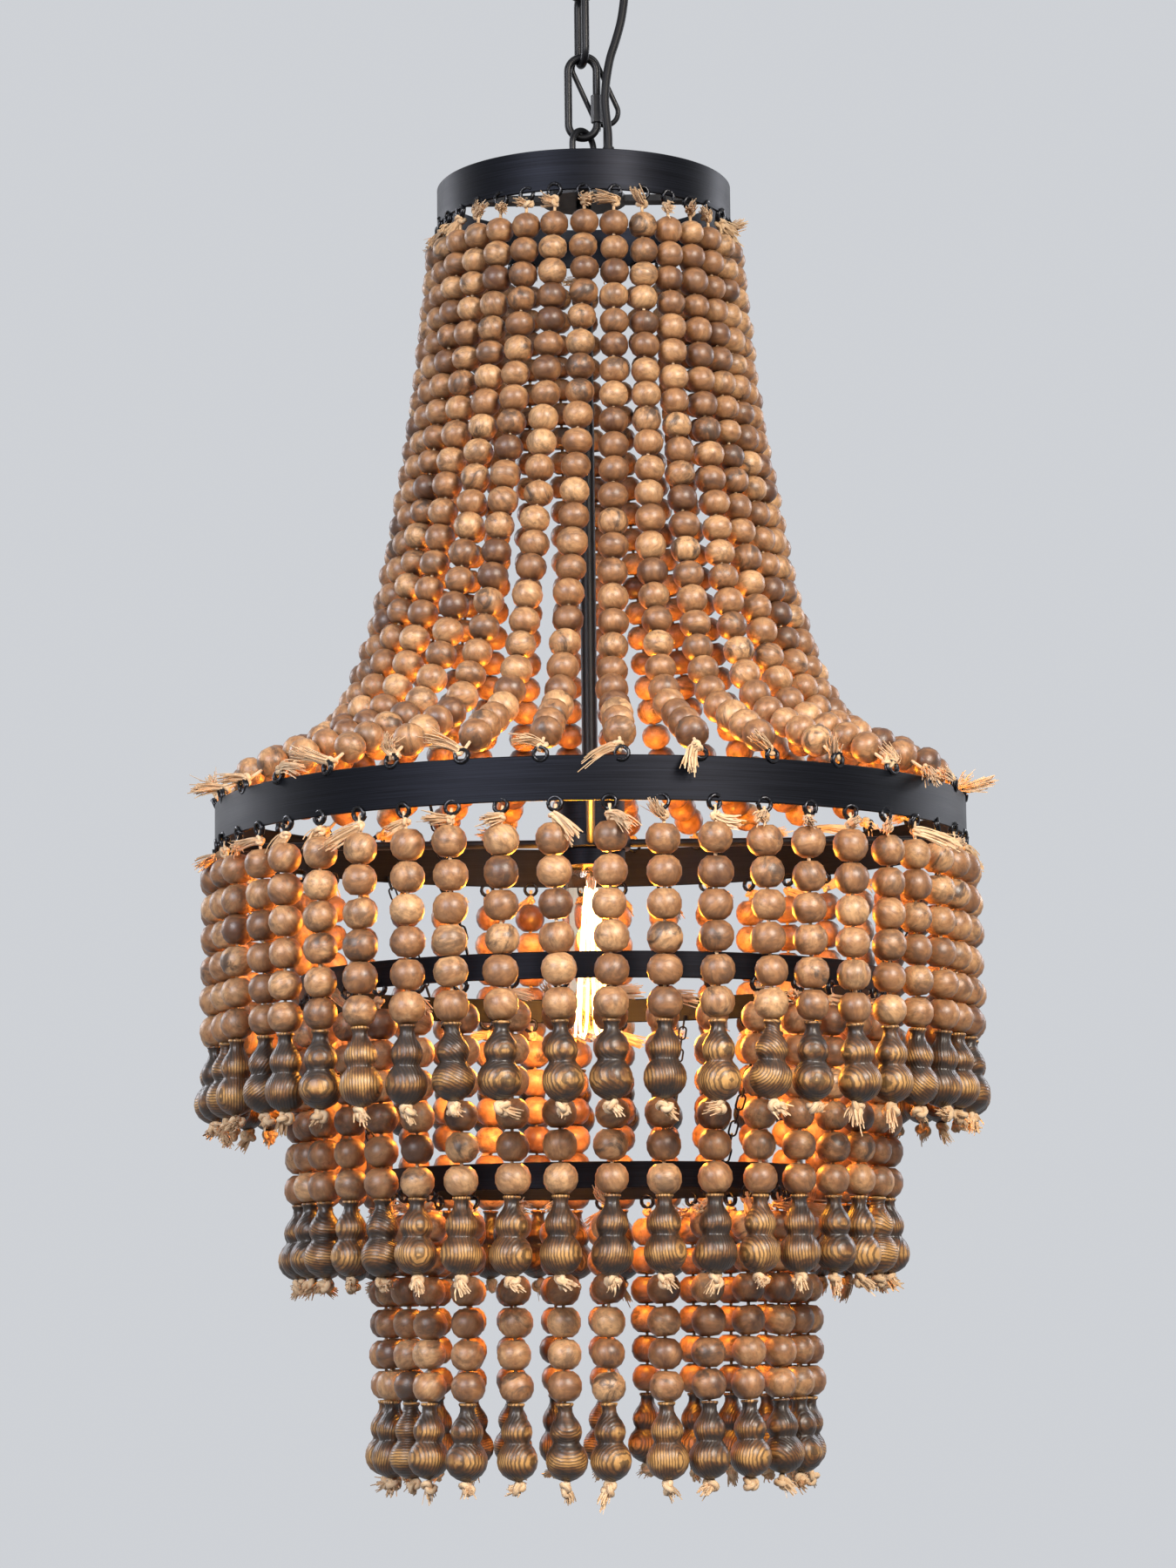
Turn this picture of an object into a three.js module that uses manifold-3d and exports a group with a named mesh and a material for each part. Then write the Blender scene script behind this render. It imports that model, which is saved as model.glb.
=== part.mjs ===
// A beaded chandelier. Two chain links and a screw link hang it from a ceiling canopy, a rod carries the lamp
// holder, and four hoops carry strands of wooden beads.
// Millimetres, +Z up. The origin is the middle of the bracket's face on the ceiling, and -Y is the front.
// Angles round the axis are in degrees from the front and grow towards +X.

import * as THREE from "three";
import { mergeVertices } from "three/addons/utils/BufferGeometryUtils.js";
import Module from "manifold-3d";

const wasm = await Module();
wasm.setup();

// Clearances
const gap = 0.3; // between two pieces that touch on the real lamp
const strandGap = 0.9; // from a hoop's edge to the string of a curtain that swings under it
const mergeTolerance = 0.0001;
const cutOverrun = 1;

// Ceiling fitting
const canopyRadius = 60;
const canopyHeight = 25;
const canopyWall = 1.2;
const canopyCorner = 9;
const bracketWidth = 18;
const bracketThickness = 2.5;
const bracketEndSpace = 4;
const earHeight = 13;
const bossRadius = 7.5;
const bossHeight = 9;
const shankRadius = 4;
const loopNutRadius = 7;
const loopNutHeight = 4;
const screwRadius = 1.9;
const screwHeadRadius = 4;
const screwHeadHeight = 2.4;
const screwDrop = 8;

// Links
const linkWire = 4.8;
const linkWidth = 23;
const linkLength = 52.4;
const screwLinkLength = 56.6;
const sleeveLength = 18;
const sleeveWall = 1;
const screwLinkOpening = 8.5;
const openingRise = 2.7; // from the sleeve's lower end up to the opening that it closes
const sleeveRise = 12; // from the screw link's lowest edge up to its sleeve
const guideWire = 3.2;
const guideLength = 49;
const guideWidth = 19;
const guideOffset = -1.4;
const guideSlant = 24;
const guideLean = 6;
const tetherWire = 3;
const hookPlay = 0.7; // more room where a wire hooks round another at a slant
const eyeWire = 4;
const eyeWidth = 24;
const eyeTurn = 50;
const eyeRise = 40.2; // from the top hoop's upper edge to the top of the eye

// Hoops: outside diameters, heights, and the drop from each edge to the next
const hoopWall = 1.8;
const topHoopDiameter = 180;
const topHoopHeight = 25;
const middleHoopDiameter = 450;
const hoopStep = 100; // how much narrower each hoop below the middle one is
const middleHoopHeight = 25;
const middleHoopDrop = 356.5;
const secondHoopDiameter = middleHoopDiameter - hoopStep;
const secondHoopHeight = 15;
const secondHoopDrop = 77.8;
const thirdHoopDiameter = secondHoopDiameter - hoopStep;
const thirdHoopHeight = 15;
const thirdHoopDrop = 99.4;

// Hub, rod and arms
const hubRadius = 26;
const hubThickness = 4;
const hubDrop = 4; // from the top hoop's upper edge down to the hub's face
const hubArmWidth = 10;
const rodDiameter = 9.5;
const armDiameter = 5;
const armRise = 2.5; // from the middle hoop's lower edge up to the arms' centre line
const collarWall = 3;
const collarHeight = 8;

// Lamp holder and bulb
const holderDiameter = 41;
const holderHeight = 58;
const holderWall = 1.5;
const holderDrop = 11.9; // from the middle hoop's lower edge down to the holder's rim
const insertRimDrop = 4.5;
const insertSocketDepth = 38;
const capDiameter = 26.4;
const capLength = 26;
const capContactRadius = 5;
const capContactHeight = 3;
const glassDiameter = 32.6;
const glassNeckDiameter = 25;
const glassLength = 109.2; // from the insert's rim down to the tip of the glass
const glassShoulderHeight = 10;

// Flex
const flexDiameter = 5.2;
const flexStretch = 10.4; // longest straight stretch of the bent flex
const glandRadius = 6;
const glandTopRadius = 3.5;
const glandNutHeight = 12;
const gripFlangeRadius = 5.6;
const gripFlangeHeight = 2.6;
const gripStemRadius = 3.7;
const flexJoin = 0.28; // share of the flex's length that lies above its swing at the upper link

// Strands
const stringRadius = 1.3;
const stringBand = 2.4; // height of the string that ties the strands of one curtain together
const beadDiameter = 19.6;
const beadPitch = 18;
const beadCount = 6;
const beadLead = 20.4; // from a hoop's lower edge down to the first bead's centre
const finialLength = 44;
const finialNeckDiameter = 7.8;
const finialSmallDiameter = 17;
const finialLargeDiameter = 24;
const finialKnotLength = 10;
const finialKnotRadius = 2.6;
const upperBeadDiameter = 16.6;
const upperBeadGrowth = 2; // how much wider the last beads are than the first
const upperLead = 13; // from the top hoop's lower edge down to the top of the first bead
const outerStrands = 48;
const secondStrands = 38;
const thirdStrands = 27;
const upperStrands = 32;
const outerCurtains = 8;
const secondCurtains = 8;
const thirdCurtains = 6;
const upperCurtains = 4;
const outerFirstAngle = 2.65;
const secondFirstAngle = 3.6;
const thirdFirstAngle = 4.3;
const upperTopAngle = 11.5;
const upperLowerAngle = 4.2;

// Suspension chains of the two lower hoops
const chainWire = 1.5;
const chainLinkWidth = 6;
const chainPitch = 17;
const hookRise = 3; // from a hoop's lower edge up to the chain's hook inside it
const secondChainStrands = [-4, 12, 28]; // each chain hangs in the gap after the strand of this number
const thirdChainStrands = [3, 16, 28];

// The flex's route from the canopy to the gland, chosen by hand
const flexRoute = [
  [20, -2, -31.6],
  [20, -2, -38],
  [20.8, -2.2, -47],
  [22.8, -2.5, -57],
  [25.2, -3, -67],
  [26.8, -3.5, -79],
  [26.5, -4, -93],
  [24.4, -4.6, -108],
  [21, -5.3, -121],
  [17.3, -6.2, -133],
  [14.8, -7.2, -147],
  [13.8, -7.6, -160],
  [14.6, -7.1, -172],
  [15.5, -6.3, -181],
  [15.6, -6, -189.2],
];

// Heights of what hangs below the canopy, each from the piece above it
const loopTop = -(canopyHeight + gap + loopNutHeight + gap);
const loopBottom = loopTop - linkWidth + linkWire / 2;
const upperLinkTop = loopBottom + linkWire + gap;
const upperLinkBottom = upperLinkTop - linkLength + linkWire;
const lowerLinkTop = upperLinkBottom + linkWire + gap;
const lowerLinkBottom = lowerLinkTop - linkLength + linkWire;
const screwLinkTop = lowerLinkBottom + linkWire + gap;
const screwLinkBottom = screwLinkTop - screwLinkLength + linkWire;
const eyeTop = screwLinkBottom + (linkWire + eyeWire) / 2 + hookPlay;
const topHoopTop = eyeTop + eyeWire / 2 - eyeRise;
const topHoopBottom = topHoopTop - topHoopHeight;
const middleHoopTop = topHoopBottom - middleHoopDrop;
const middleHoopBottom = middleHoopTop - middleHoopHeight;
const secondHoopTop = middleHoopBottom - secondHoopDrop;
const secondHoopBottom = secondHoopTop - secondHoopHeight;
const thirdHoopTop = secondHoopBottom - thirdHoopDrop;
const thirdHoopBottom = thirdHoopTop - thirdHoopHeight;
const hubTop = topHoopTop - hubDrop;
const hubBottom = hubTop - hubThickness;
const holderBottom = middleHoopBottom - holderDrop;
const holderTop = holderBottom + holderHeight;
const flexEnd = new THREE.Vector3(...flexRoute.at(-1));
const flexStart = new THREE.Vector3(...flexRoute[0]);

// The three hoops that strands hang under
const middleTier = {
  diameter: middleHoopDiameter,
  top: middleHoopTop,
  bottom: middleHoopBottom,
  strands: outerStrands,
  curtains: outerCurtains,
  firstAngle: outerFirstAngle,
};
const secondTier = {
  diameter: secondHoopDiameter,
  top: secondHoopTop,
  bottom: secondHoopBottom,
  strands: secondStrands,
  curtains: secondCurtains,
  firstAngle: secondFirstAngle,
};
const thirdTier = {
  diameter: thirdHoopDiameter,
  top: thirdHoopTop,
  bottom: thirdHoopBottom,
  strands: thirdStrands,
  curtains: thirdCurtains,
  firstAngle: thirdFirstAngle,
};

// Facets round a full turn
const wireSides = 6;
const arcSteps = 6;
const hoopSides = 48;
const flexSides = 8;
const turnedSides = 24;
const quarterSteps = 4;

// Finishes
const blackSteel = new THREE.MeshStandardMaterial({ color: "#26262a", roughness: 0.45, metalness: 0.7 });
const chainSteel = new THREE.MeshStandardMaterial({ color: "#1d1d1f", roughness: 0.4, metalness: 0.8 });
const zincSteel = new THREE.MeshStandardMaterial({ color: "#9a9b9c", roughness: 0.4, metalness: 0.9 });
const flexSheath = new THREE.MeshStandardMaterial({ color: "#17171a", roughness: 0.6, metalness: 0 });
const porcelain = new THREE.MeshStandardMaterial({ color: "#e9e6de", roughness: 0.3, metalness: 0 });
const capMetal = new THREE.MeshStandardMaterial({ color: "#c8b27a", roughness: 0.35, metalness: 0.9 });
const clearGlass = new THREE.MeshStandardMaterial({ color: "#fff3df", roughness: 0.05, metalness: 0 });
const beadWood = new THREE.MeshStandardMaterial({ color: "#b08c68", roughness: 0.7, metalness: 0 });

const degrees = Math.PI / 180;
const fourSidedShare = Math.sqrt(Math.PI) / 2; // half side of a square as large as a round of radius 1

const chandelier = new THREE.Group();

function addMesh(name, geometry, material) {
  const mesh = new THREE.Mesh(geometry, material);
  mesh.name = name;
  chandelier.add(mesh);
  return mesh;
}

// A point at a radius and an angle from the front.
function polar(radius, angle, z) {
  return new THREE.Vector3(radius * Math.sin(angle * degrees), -radius * Math.cos(angle * degrees), z);
}

// Positions alone, with shared corners merged.
function barePositions(geometry) {
  const bare = geometry.index ? geometry.toNonIndexed() : geometry.clone();
  for (const name of Object.keys(bare.attributes)) if (name !== "position") bare.deleteAttribute(name);
  return mergeVertices(bare, mergeTolerance);
}

function toManifold(geometry) {
  const bare = barePositions(geometry);
  const vertProperties = bare.attributes.position.array;
  return new wasm.Manifold(
    new wasm.Mesh({ numProp: 3, vertProperties, triVerts: Uint32Array.from(bare.index.array) }),
  );
}

function fromManifold(solid) {
  const found = solid.getMesh();
  const geometry = new THREE.BufferGeometry();
  geometry.setAttribute("position", new THREE.Float32BufferAttribute(found.vertProperties, 3));
  geometry.setIndex(Array.from(found.triVerts));
  return geometry;
}

function join(...geometries) {
  return fromManifold(geometries.map(toManifold).reduce((whole, piece) => whole.add(piece)));
}

function cut(geometry, ...tools) {
  const whole = toManifold(geometry);
  return fromManifold(tools.map(toManifold).reduce((left, tool) => left.subtract(tool), whole));
}

// Turns a closed surface inside out if its faces point in.
function facingOut(geometry) {
  const bare = barePositions(geometry);
  const index = bare.index.array;
  const corners = [new THREE.Vector3(), new THREE.Vector3(), new THREE.Vector3()];
  let volume = 0;
  for (let i = 0; i < index.length; i += 3) {
    corners.forEach((corner, k) => corner.fromBufferAttribute(bare.attributes.position, index[i + k]));
    volume += corners[0].dot(corners[1].cross(corners[2]));
  }
  if (volume < 0) index.reverse();
  return bare;
}

// A solid of revolution about Z from points [radius, z].
function turned(points, sides = turnedSides) {
  const profile = points.map(([radius, z]) => new THREE.Vector2(radius, z));
  return facingOut(new THREE.LatheGeometry(profile, sides).rotateX(Math.PI / 2));
}

// A rod of round section between two points.
function rodBetween(start, end, radius, sides) {
  const along = end.clone().sub(start);
  const rod = new THREE.CylinderGeometry(radius, radius, along.length(), sides);
  const turn = new THREE.Quaternion().setFromUnitVectors(new THREE.Vector3(0, 1, 0), along.normalize());
  return rod.applyQuaternion(turn).translate(...start.clone().add(end).multiplyScalar(0.5).toArray());
}

function box(low, high) {
  const size = high.map((value, axis) => value - low[axis]);
  const middle = high.map((value, axis) => (value + low[axis]) / 2);
  return new THREE.BoxGeometry(...size).translate(...middle);
}

// Joins rings of points, each ring going the same way round. A closed loft comes back to its first ring.
function loft(rings, closed) {
  const sides = rings[0].length;
  const index = [];
  const last = closed ? rings.length : rings.length - 1;
  for (let i = 0; i < last; i++) {
    const near = i * sides;
    const far = ((i + 1) % rings.length) * sides;
    for (let s = 0; s < sides; s++) {
      const next = (s + 1) % sides;
      index.push(near + s, near + next, far + next, near + s, far + next, far + s);
    }
  }
  if (!closed) {
    const end = (rings.length - 1) * sides;
    for (let s = 1; s < sides - 1; s++) index.push(0, s + 1, s, end, end + s, end + s + 1);
  }
  const geometry = new THREE.BufferGeometry().setFromPoints(rings.flat());
  geometry.setIndex(index);
  return facingOut(geometry);
}

// Round rings along a path that lies in the XZ plane.
function wireRings(path, radius) {
  return path.map(({ point, across }) =>
    Array.from({ length: wireSides }, (_, s) => {
      const turn = (2 * Math.PI * (s + 0.5)) / wireSides;
      return point
        .clone()
        .addScaledVector(across, radius * Math.cos(turn))
        .add(new THREE.Vector3(0, radius * Math.sin(turn), 0));
    }),
  );
}

// Centre line of an arc in the XZ plane, from one angle to another, with the direction across the wire.
function arcPath(x, z, radius, from, to, steps = arcSteps) {
  return Array.from({ length: steps + 1 }, (_, i) => {
    const angle = (from + ((to - from) * i) / steps) * degrees;
    const across = new THREE.Vector3(Math.cos(angle), 0, Math.sin(angle));
    return { point: across.clone().multiplyScalar(radius).add(new THREE.Vector3(x, 0, z)), across };
  });
}

// A welded chain link in the XZ plane whose upper wire's centre is at the origin.
function linkGeometry(length, width, wire) {
  const radius = (width - wire) / 2;
  const top = arcPath(0, -radius, radius, 0, 180);
  const bottom = arcPath(0, wire - length + radius, radius, 180, 360);
  return loft(wireRings([...top, ...bottom], wire / 2), true);
}

function buildCeilingFitting() {
  const innerRadius = canopyRadius - canopyWall;
  const floor = -canopyHeight;
  const corner = (radius) =>
    Array.from({ length: quarterSteps + 1 }, (_, i) => {
      const angle = (i * Math.PI) / 2 / quarterSteps;
      const reach = canopyRadius - canopyCorner;
      return [reach + radius * Math.cos(angle), floor + canopyCorner - radius * Math.sin(angle)];
    });
  const shankHole = shankRadius + gap;
  const shell = turned(
    [
      [canopyRadius, 0],
      ...corner(canopyCorner),
      [shankHole, floor],
      [shankHole, floor + canopyWall],
      ...corner(canopyCorner - canopyWall).reverse(),
      [innerRadius, 0],
      [canopyRadius, 0],
    ],
    hoopSides,
  );
  const gripHole = rodBetween(
    new THREE.Vector3(flexStart.x, flexStart.y, floor - cutOverrun),
    new THREE.Vector3(flexStart.x, flexStart.y, floor + canopyWall + cutOverrun),
    gripStemRadius + gap,
    turnedSides / 2,
  );
  const screwReach = canopyRadius + cutOverrun;
  const screwHoles = rodBetween(
    new THREE.Vector3(-screwReach, 0, -screwDrop),
    new THREE.Vector3(screwReach, 0, -screwDrop),
    screwRadius + gap,
    turnedSides / 2,
  );
  addMesh("ceiling_canopy", cut(shell, gripHole, screwHoles), blackSteel);

  const bracketEnd = innerRadius - bracketEndSpace;
  const plate = box([-bracketEnd, -bracketWidth / 2, -bracketThickness], [bracketEnd, bracketWidth / 2, 0]);
  const ears = [-1, 1].map((side) => {
    const faces = [side * bracketEnd, side * (bracketEnd - bracketThickness)].sort((a, b) => a - b);
    return box([faces[0], -bracketWidth / 2, -earHeight], [faces[1], bracketWidth / 2, 0]);
  });
  const bossBottom = -bracketThickness - bossHeight;
  const boss = turned([[0, 0], [bossRadius, 0], [bossRadius, bossBottom], [0, bossBottom]]);
  const boreTop = -bracketThickness - gap;
  const bore = turned([
    [0, boreTop],
    [shankRadius + gap, boreTop],
    [shankRadius + gap, bossBottom - cutOverrun],
    [0, bossBottom - cutOverrun],
  ]);
  addMesh("ceiling_bracket", cut(join(plate, ...ears, boss), bore, screwHoles), zincSteel);

  for (const [side, name] of [[-1, "canopy_screw_left"], [1, "canopy_screw_right"]]) {
    const seat = canopyRadius + gap;
    const tip = bracketEnd - bracketThickness - gap;
    const shank = rodBetween(
      new THREE.Vector3(side * tip, 0, -screwDrop),
      new THREE.Vector3(side * (seat + screwHeadHeight / 2), 0, -screwDrop),
      screwRadius,
      turnedSides / 2,
    );
    const head = rodBetween(
      new THREE.Vector3(side * seat, 0, -screwDrop),
      new THREE.Vector3(side * (seat + screwHeadHeight), 0, -screwDrop),
      screwHeadRadius,
      turnedSides / 2,
    );
    addMesh(name, join(shank, head), zincSteel);
  }

  const loopRadius = (linkWidth - linkWire) / 2;
  const ring = linkGeometry(linkWidth, linkWidth, linkWire).translate(0, 0, loopTop - linkWire / 2);
  const shankTop = boreTop - gap;
  const shank = turned(
    [
      [0, shankTop],
      [shankRadius, shankTop],
      [shankRadius, loopTop - linkWire / 2],
      [0, loopTop - linkWire / 2],
    ],
    turnedSides / 2,
  );
  addMesh("ceiling_loop", join(ring.rotateZ(Math.PI / 2), shank), chainSteel);

  const nutTop = floor - gap;
  const nutBottom = nutTop - loopNutHeight;
  const nutHole = shankRadius + gap;
  const nut = [[nutHole, nutTop], [loopNutRadius, nutTop], [loopNutRadius, nutBottom], [nutHole, nutBottom]];
  addMesh("loop_nut", turned([...nut, nut[0]], wireSides * 2), chainSteel);

  const gripBottom = flexStart.z + gap;
  const flangeTop = floor - gap;
  const grip = turned(
    [
      [0, floor + canopyWall + gripFlangeHeight],
      [gripStemRadius, floor + canopyWall + gripFlangeHeight],
      [gripStemRadius, flangeTop],
      [gripFlangeRadius, flangeTop],
      [gripFlangeRadius, flangeTop - gripFlangeHeight],
      [glandTopRadius, gripBottom],
      [0, gripBottom],
    ],
    turnedSides / 2,
  );
  addMesh("canopy_cord_grip", grip.translate(flexStart.x, flexStart.y, 0), flexSheath);
}

function buildLinks() {
  const link = () => linkGeometry(linkLength, linkWidth, linkWire);
  addMesh("upper_link", link().translate(0, 0, upperLinkTop), chainSteel);
  addMesh("lower_link", link().rotateZ(Math.PI / 2).translate(0, 0, lowerLinkTop), chainSteel);

  const radius = (linkWidth - linkWire) / 2;
  const sleeveBottom = screwLinkBottom - linkWire / 2 + sleeveRise;
  const openingBottom = sleeveBottom + openingRise;
  const openingTop = openingBottom + screwLinkOpening;
  const across = new THREE.Vector3(1, 0, 0);
  const centreLine = [
    { point: new THREE.Vector3(radius, 0, openingTop), across },
    ...arcPath(0, screwLinkTop - radius, radius, 0, 180),
    ...arcPath(0, screwLinkBottom + radius, radius, 180, 360),
    { point: new THREE.Vector3(radius, 0, openingBottom), across },
  ];
  addMesh("screw_link", loft(wireRings(centreLine, linkWire / 2), false), chainSteel);

  const bore = linkWire / 2 + gap;
  const sleeve = [
    [bore, 0],
    [bore + sleeveWall, 0],
    [bore + sleeveWall, sleeveLength],
    [bore, sleeveLength],
    [bore, 0],
  ];
  addMesh("screw_link_sleeve", turned(sleeve, wireSides * 2).translate(radius, 0, sleeveBottom), chainSteel);

  const eyeRadius = (eyeWidth - eyeWire) / 2;
  const legEnd = hubTop + gap;
  const eyeLine = [
    { point: new THREE.Vector3(eyeRadius, 0, legEnd), across },
    ...arcPath(0, eyeTop - eyeRadius, eyeRadius, 0, 180),
    { point: new THREE.Vector3(-eyeRadius, 0, legEnd), across: across.clone().negate() },
  ];
  const eye = loft(wireRings(eyeLine, eyeWire / 2), false);
  addMesh("top_eye", eye.rotateZ(eyeTurn * degrees), chainSteel);
}

// The slanted guide link hangs in the lower link behind the screw link. A tether ties its foot to the hub.
function buildGuideLink() {
  const windowRadius = (linkWidth - linkWire) / 2;
  const windowZ = lowerLinkBottom + windowRadius;
  const seat = windowRadius - linkWire / 2 - guideWire / 2 - gap;
  const screwLinkSeat = windowZ - screwLinkTop;
  const apart = (linkWire + guideWire) / 2 + gap;
  const cosine = (seat ** 2 + screwLinkSeat ** 2 - apart ** 2) / (2 * seat * screwLinkSeat);
  const turn = Math.acos(THREE.MathUtils.clamp(cosine, 0, 1));
  const top = new THREE.Vector3(guideOffset, seat * Math.sin(turn), windowZ - seat * Math.cos(turn));
  const pose = new THREE.Matrix4()
    .makeTranslation(top)
    .multiply(new THREE.Matrix4().makeRotationX(guideLean * degrees))
    .multiply(new THREE.Matrix4().makeRotationY(-guideSlant * degrees));
  const guide = linkGeometry(guideLength, guideWidth, guideWire);
  addMesh("guide_link", guide.applyMatrix4(pose), chainSteel);

  const guideRadius = (guideWidth - guideWire) / 2;
  const foot = new THREE.Vector3(0, 0, guideWire - guideLength + guideRadius).applyMatrix4(pose);
  foot.z -= guideRadius;
  const tetherTop = foot.z + (guideWire + tetherWire) / 2 + gap + hookPlay;
  const tetherLength = tetherTop + tetherWire / 2 - hubTop - gap;
  const tetherWidth = guideWire + 2 * tetherWire + 2 * hookPlay;
  const tether = linkGeometry(tetherLength, tetherWidth, tetherWire).rotateZ(Math.PI / 2);
  addMesh("safety_tether", tether.translate(foot.x, foot.y, tetherTop), chainSteel);
}

function hoop(diameter, height, bottom) {
  const outer = diameter / 2;
  const inner = outer - hoopWall;
  const top = bottom + height;
  return turned([[outer, bottom], [outer, top], [inner, top], [inner, bottom], [outer, bottom]], hoopSides);
}

// Inside radius that a faceted hoop leaves at the middle of its flats.
function hoopInside(diameter) {
  return (diameter / 2 - hoopWall) * Math.cos(Math.PI / hoopSides) - gap;
}

function buildFrame() {
  addMesh("top_hoop", hoop(topHoopDiameter, topHoopHeight, topHoopBottom), blackSteel);
  addMesh("middle_hoop", hoop(middleHoopDiameter, middleHoopHeight, middleHoopBottom), blackSteel);
  addMesh("second_hoop", hoop(secondHoopDiameter, secondHoopHeight, secondHoopBottom), blackSteel);
  addMesh("third_hoop", hoop(thirdHoopDiameter, thirdHoopHeight, thirdHoopBottom), blackSteel);

  const hubReach = hoopInside(topHoopDiameter);
  const disc = turned([[0, hubTop], [hubRadius, hubTop], [hubRadius, hubBottom], [0, hubBottom]]);
  const alongX = box([-hubReach, -hubArmWidth / 2, hubBottom], [hubReach, hubArmWidth / 2, hubTop]);
  const alongY = box([-hubArmWidth / 2, -hubReach, hubBottom], [hubArmWidth / 2, hubReach, hubTop]);
  addMesh("hub_cross", join(disc, alongX, alongY), blackSteel);

  const rodTop = new THREE.Vector3(0, 0, hubBottom - gap);
  const rodFoot = new THREE.Vector3(0, 0, holderTop + gap);
  addMesh("central_rod", rodBetween(rodTop, rodFoot, rodDiameter / 2, turnedSides / 2), blackSteel);

  const armZ = middleHoopBottom + armRise;
  const collarInner = holderDiameter / 2 + gap;
  const collarOuter = collarInner + collarWall;
  const low = armZ - collarHeight / 2;
  const high = armZ + collarHeight / 2;
  const collar = [[collarInner, low], [collarOuter, low], [collarOuter, high], [collarInner, high]];
  const arms = [0, 90, 180, 270].map((angle) =>
    rodBetween(
      polar(collarInner + collarWall / 2, angle, armZ),
      polar(hoopInside(middleHoopDiameter), angle, armZ),
      armDiameter / 2,
      wireSides,
    ),
  );
  addMesh("lamp_arms", join(turned([...collar, collar[0]]), ...arms), blackSteel);
}

function buildLamp() {
  const outer = holderDiameter / 2;
  const inner = outer - holderWall;
  const roof = holderTop - holderWall;
  const cup = [
    [0, holderTop],
    [outer, holderTop],
    [outer, holderBottom],
    [inner, holderBottom],
    [inner, roof],
    [0, roof],
  ];
  addMesh("lamp_holder", turned(cup), blackSteel);

  const insertOuter = inner - gap;
  const insertTop = roof - gap;
  const insertBottom = holderBottom + insertRimDrop;
  const socketTop = insertBottom + insertSocketDepth;
  const socketRadius = capDiameter / 2 + gap;
  const insert = turned([
    [0, insertTop],
    [insertOuter, insertTop],
    [insertOuter, insertBottom],
    [socketRadius, insertBottom],
    [socketRadius, socketTop],
    [0, socketTop],
  ]);
  addMesh("holder_insert", insert, porcelain);

  const contactTop = socketTop - gap;
  const capTop = contactTop - capContactHeight;
  const capBottom = capTop - capLength;
  const cap = turned([
    [0, contactTop],
    [capContactRadius, contactTop],
    [capDiameter / 2, capTop],
    [capDiameter / 2, capBottom],
    [0, capBottom],
  ]);
  addMesh("bulb_cap", cap, capMetal);

  const glassRadius = glassDiameter / 2;
  const shoulderTop = insertBottom - gap;
  const tip = shoulderTop - glassLength;
  const dome = Array.from({ length: quarterSteps + 1 }, (_, i) => {
    const angle = (i * Math.PI) / 2 / quarterSteps;
    return [glassRadius * Math.cos(angle), tip + glassRadius * (1 - Math.sin(angle))];
  });
  const glass = turned([
    [0, capBottom - gap],
    [glassNeckDiameter / 2, capBottom - gap],
    [glassNeckDiameter / 2, shoulderTop],
    [glassRadius, shoulderTop - glassShoulderHeight],
    ...dome,
  ]);
  addMesh("bulb_glass", glass, clearGlass);
}

function buildFlex() {
  const seat = hubTop + gap;
  const gland = turned(
    [
      [0, flexEnd.z - gap],
      [glandTopRadius, flexEnd.z - gap],
      [glandRadius, seat + glandNutHeight],
      [glandRadius, seat],
      [0, seat],
    ],
    turnedSides / 2,
  );
  addMesh("cord_gland", gland.translate(flexEnd.x, flexEnd.y, 0), flexSheath);

  const whole = new THREE.CatmullRomCurve3(flexRoute.map((point) => new THREE.Vector3(...point)));
  const length = whole.getLength();
  const stretch = (from, to) => {
    const steps = Math.ceil((length * (to - from)) / flexStretch);
    const share = (i) => from + ((to - from) * i) / steps;
    const points = Array.from({ length: steps + 1 }, (_, i) => whole.getPointAt(share(i)));
    const section = new THREE.Shape(
      Array.from({ length: flexSides }, (_, s) => {
        const turn = (2 * Math.PI * s) / flexSides;
        return new THREE.Vector2(Math.cos(turn), Math.sin(turn)).multiplyScalar(flexDiameter / 2);
      }),
    );
    return new THREE.ExtrudeGeometry(section, { steps, extrudePath: new THREE.CatmullRomCurve3(points) });
  };
  addMesh("flex_upper", facingOut(stretch(0, flexJoin)), flexSheath);
  addMesh("flex_lower", facingOut(stretch(flexJoin + gap / length, 1)), flexSheath);
}

// Four corners round a point, in the order that curtainGeometry joins them.
function squareRing(centre, tangent, normal, radius, tangentShare = 1, normalShare = 1) {
  const half = radius * fourSidedShare;
  return [[-1, -1], [1, -1], [1, 1], [-1, 1]].map(([t, n]) =>
    centre
      .clone()
      .addScaledVector(tangent, t * half * tangentShare)
      .addScaledVector(normal, n * half * normalShare),
  );
}

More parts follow.
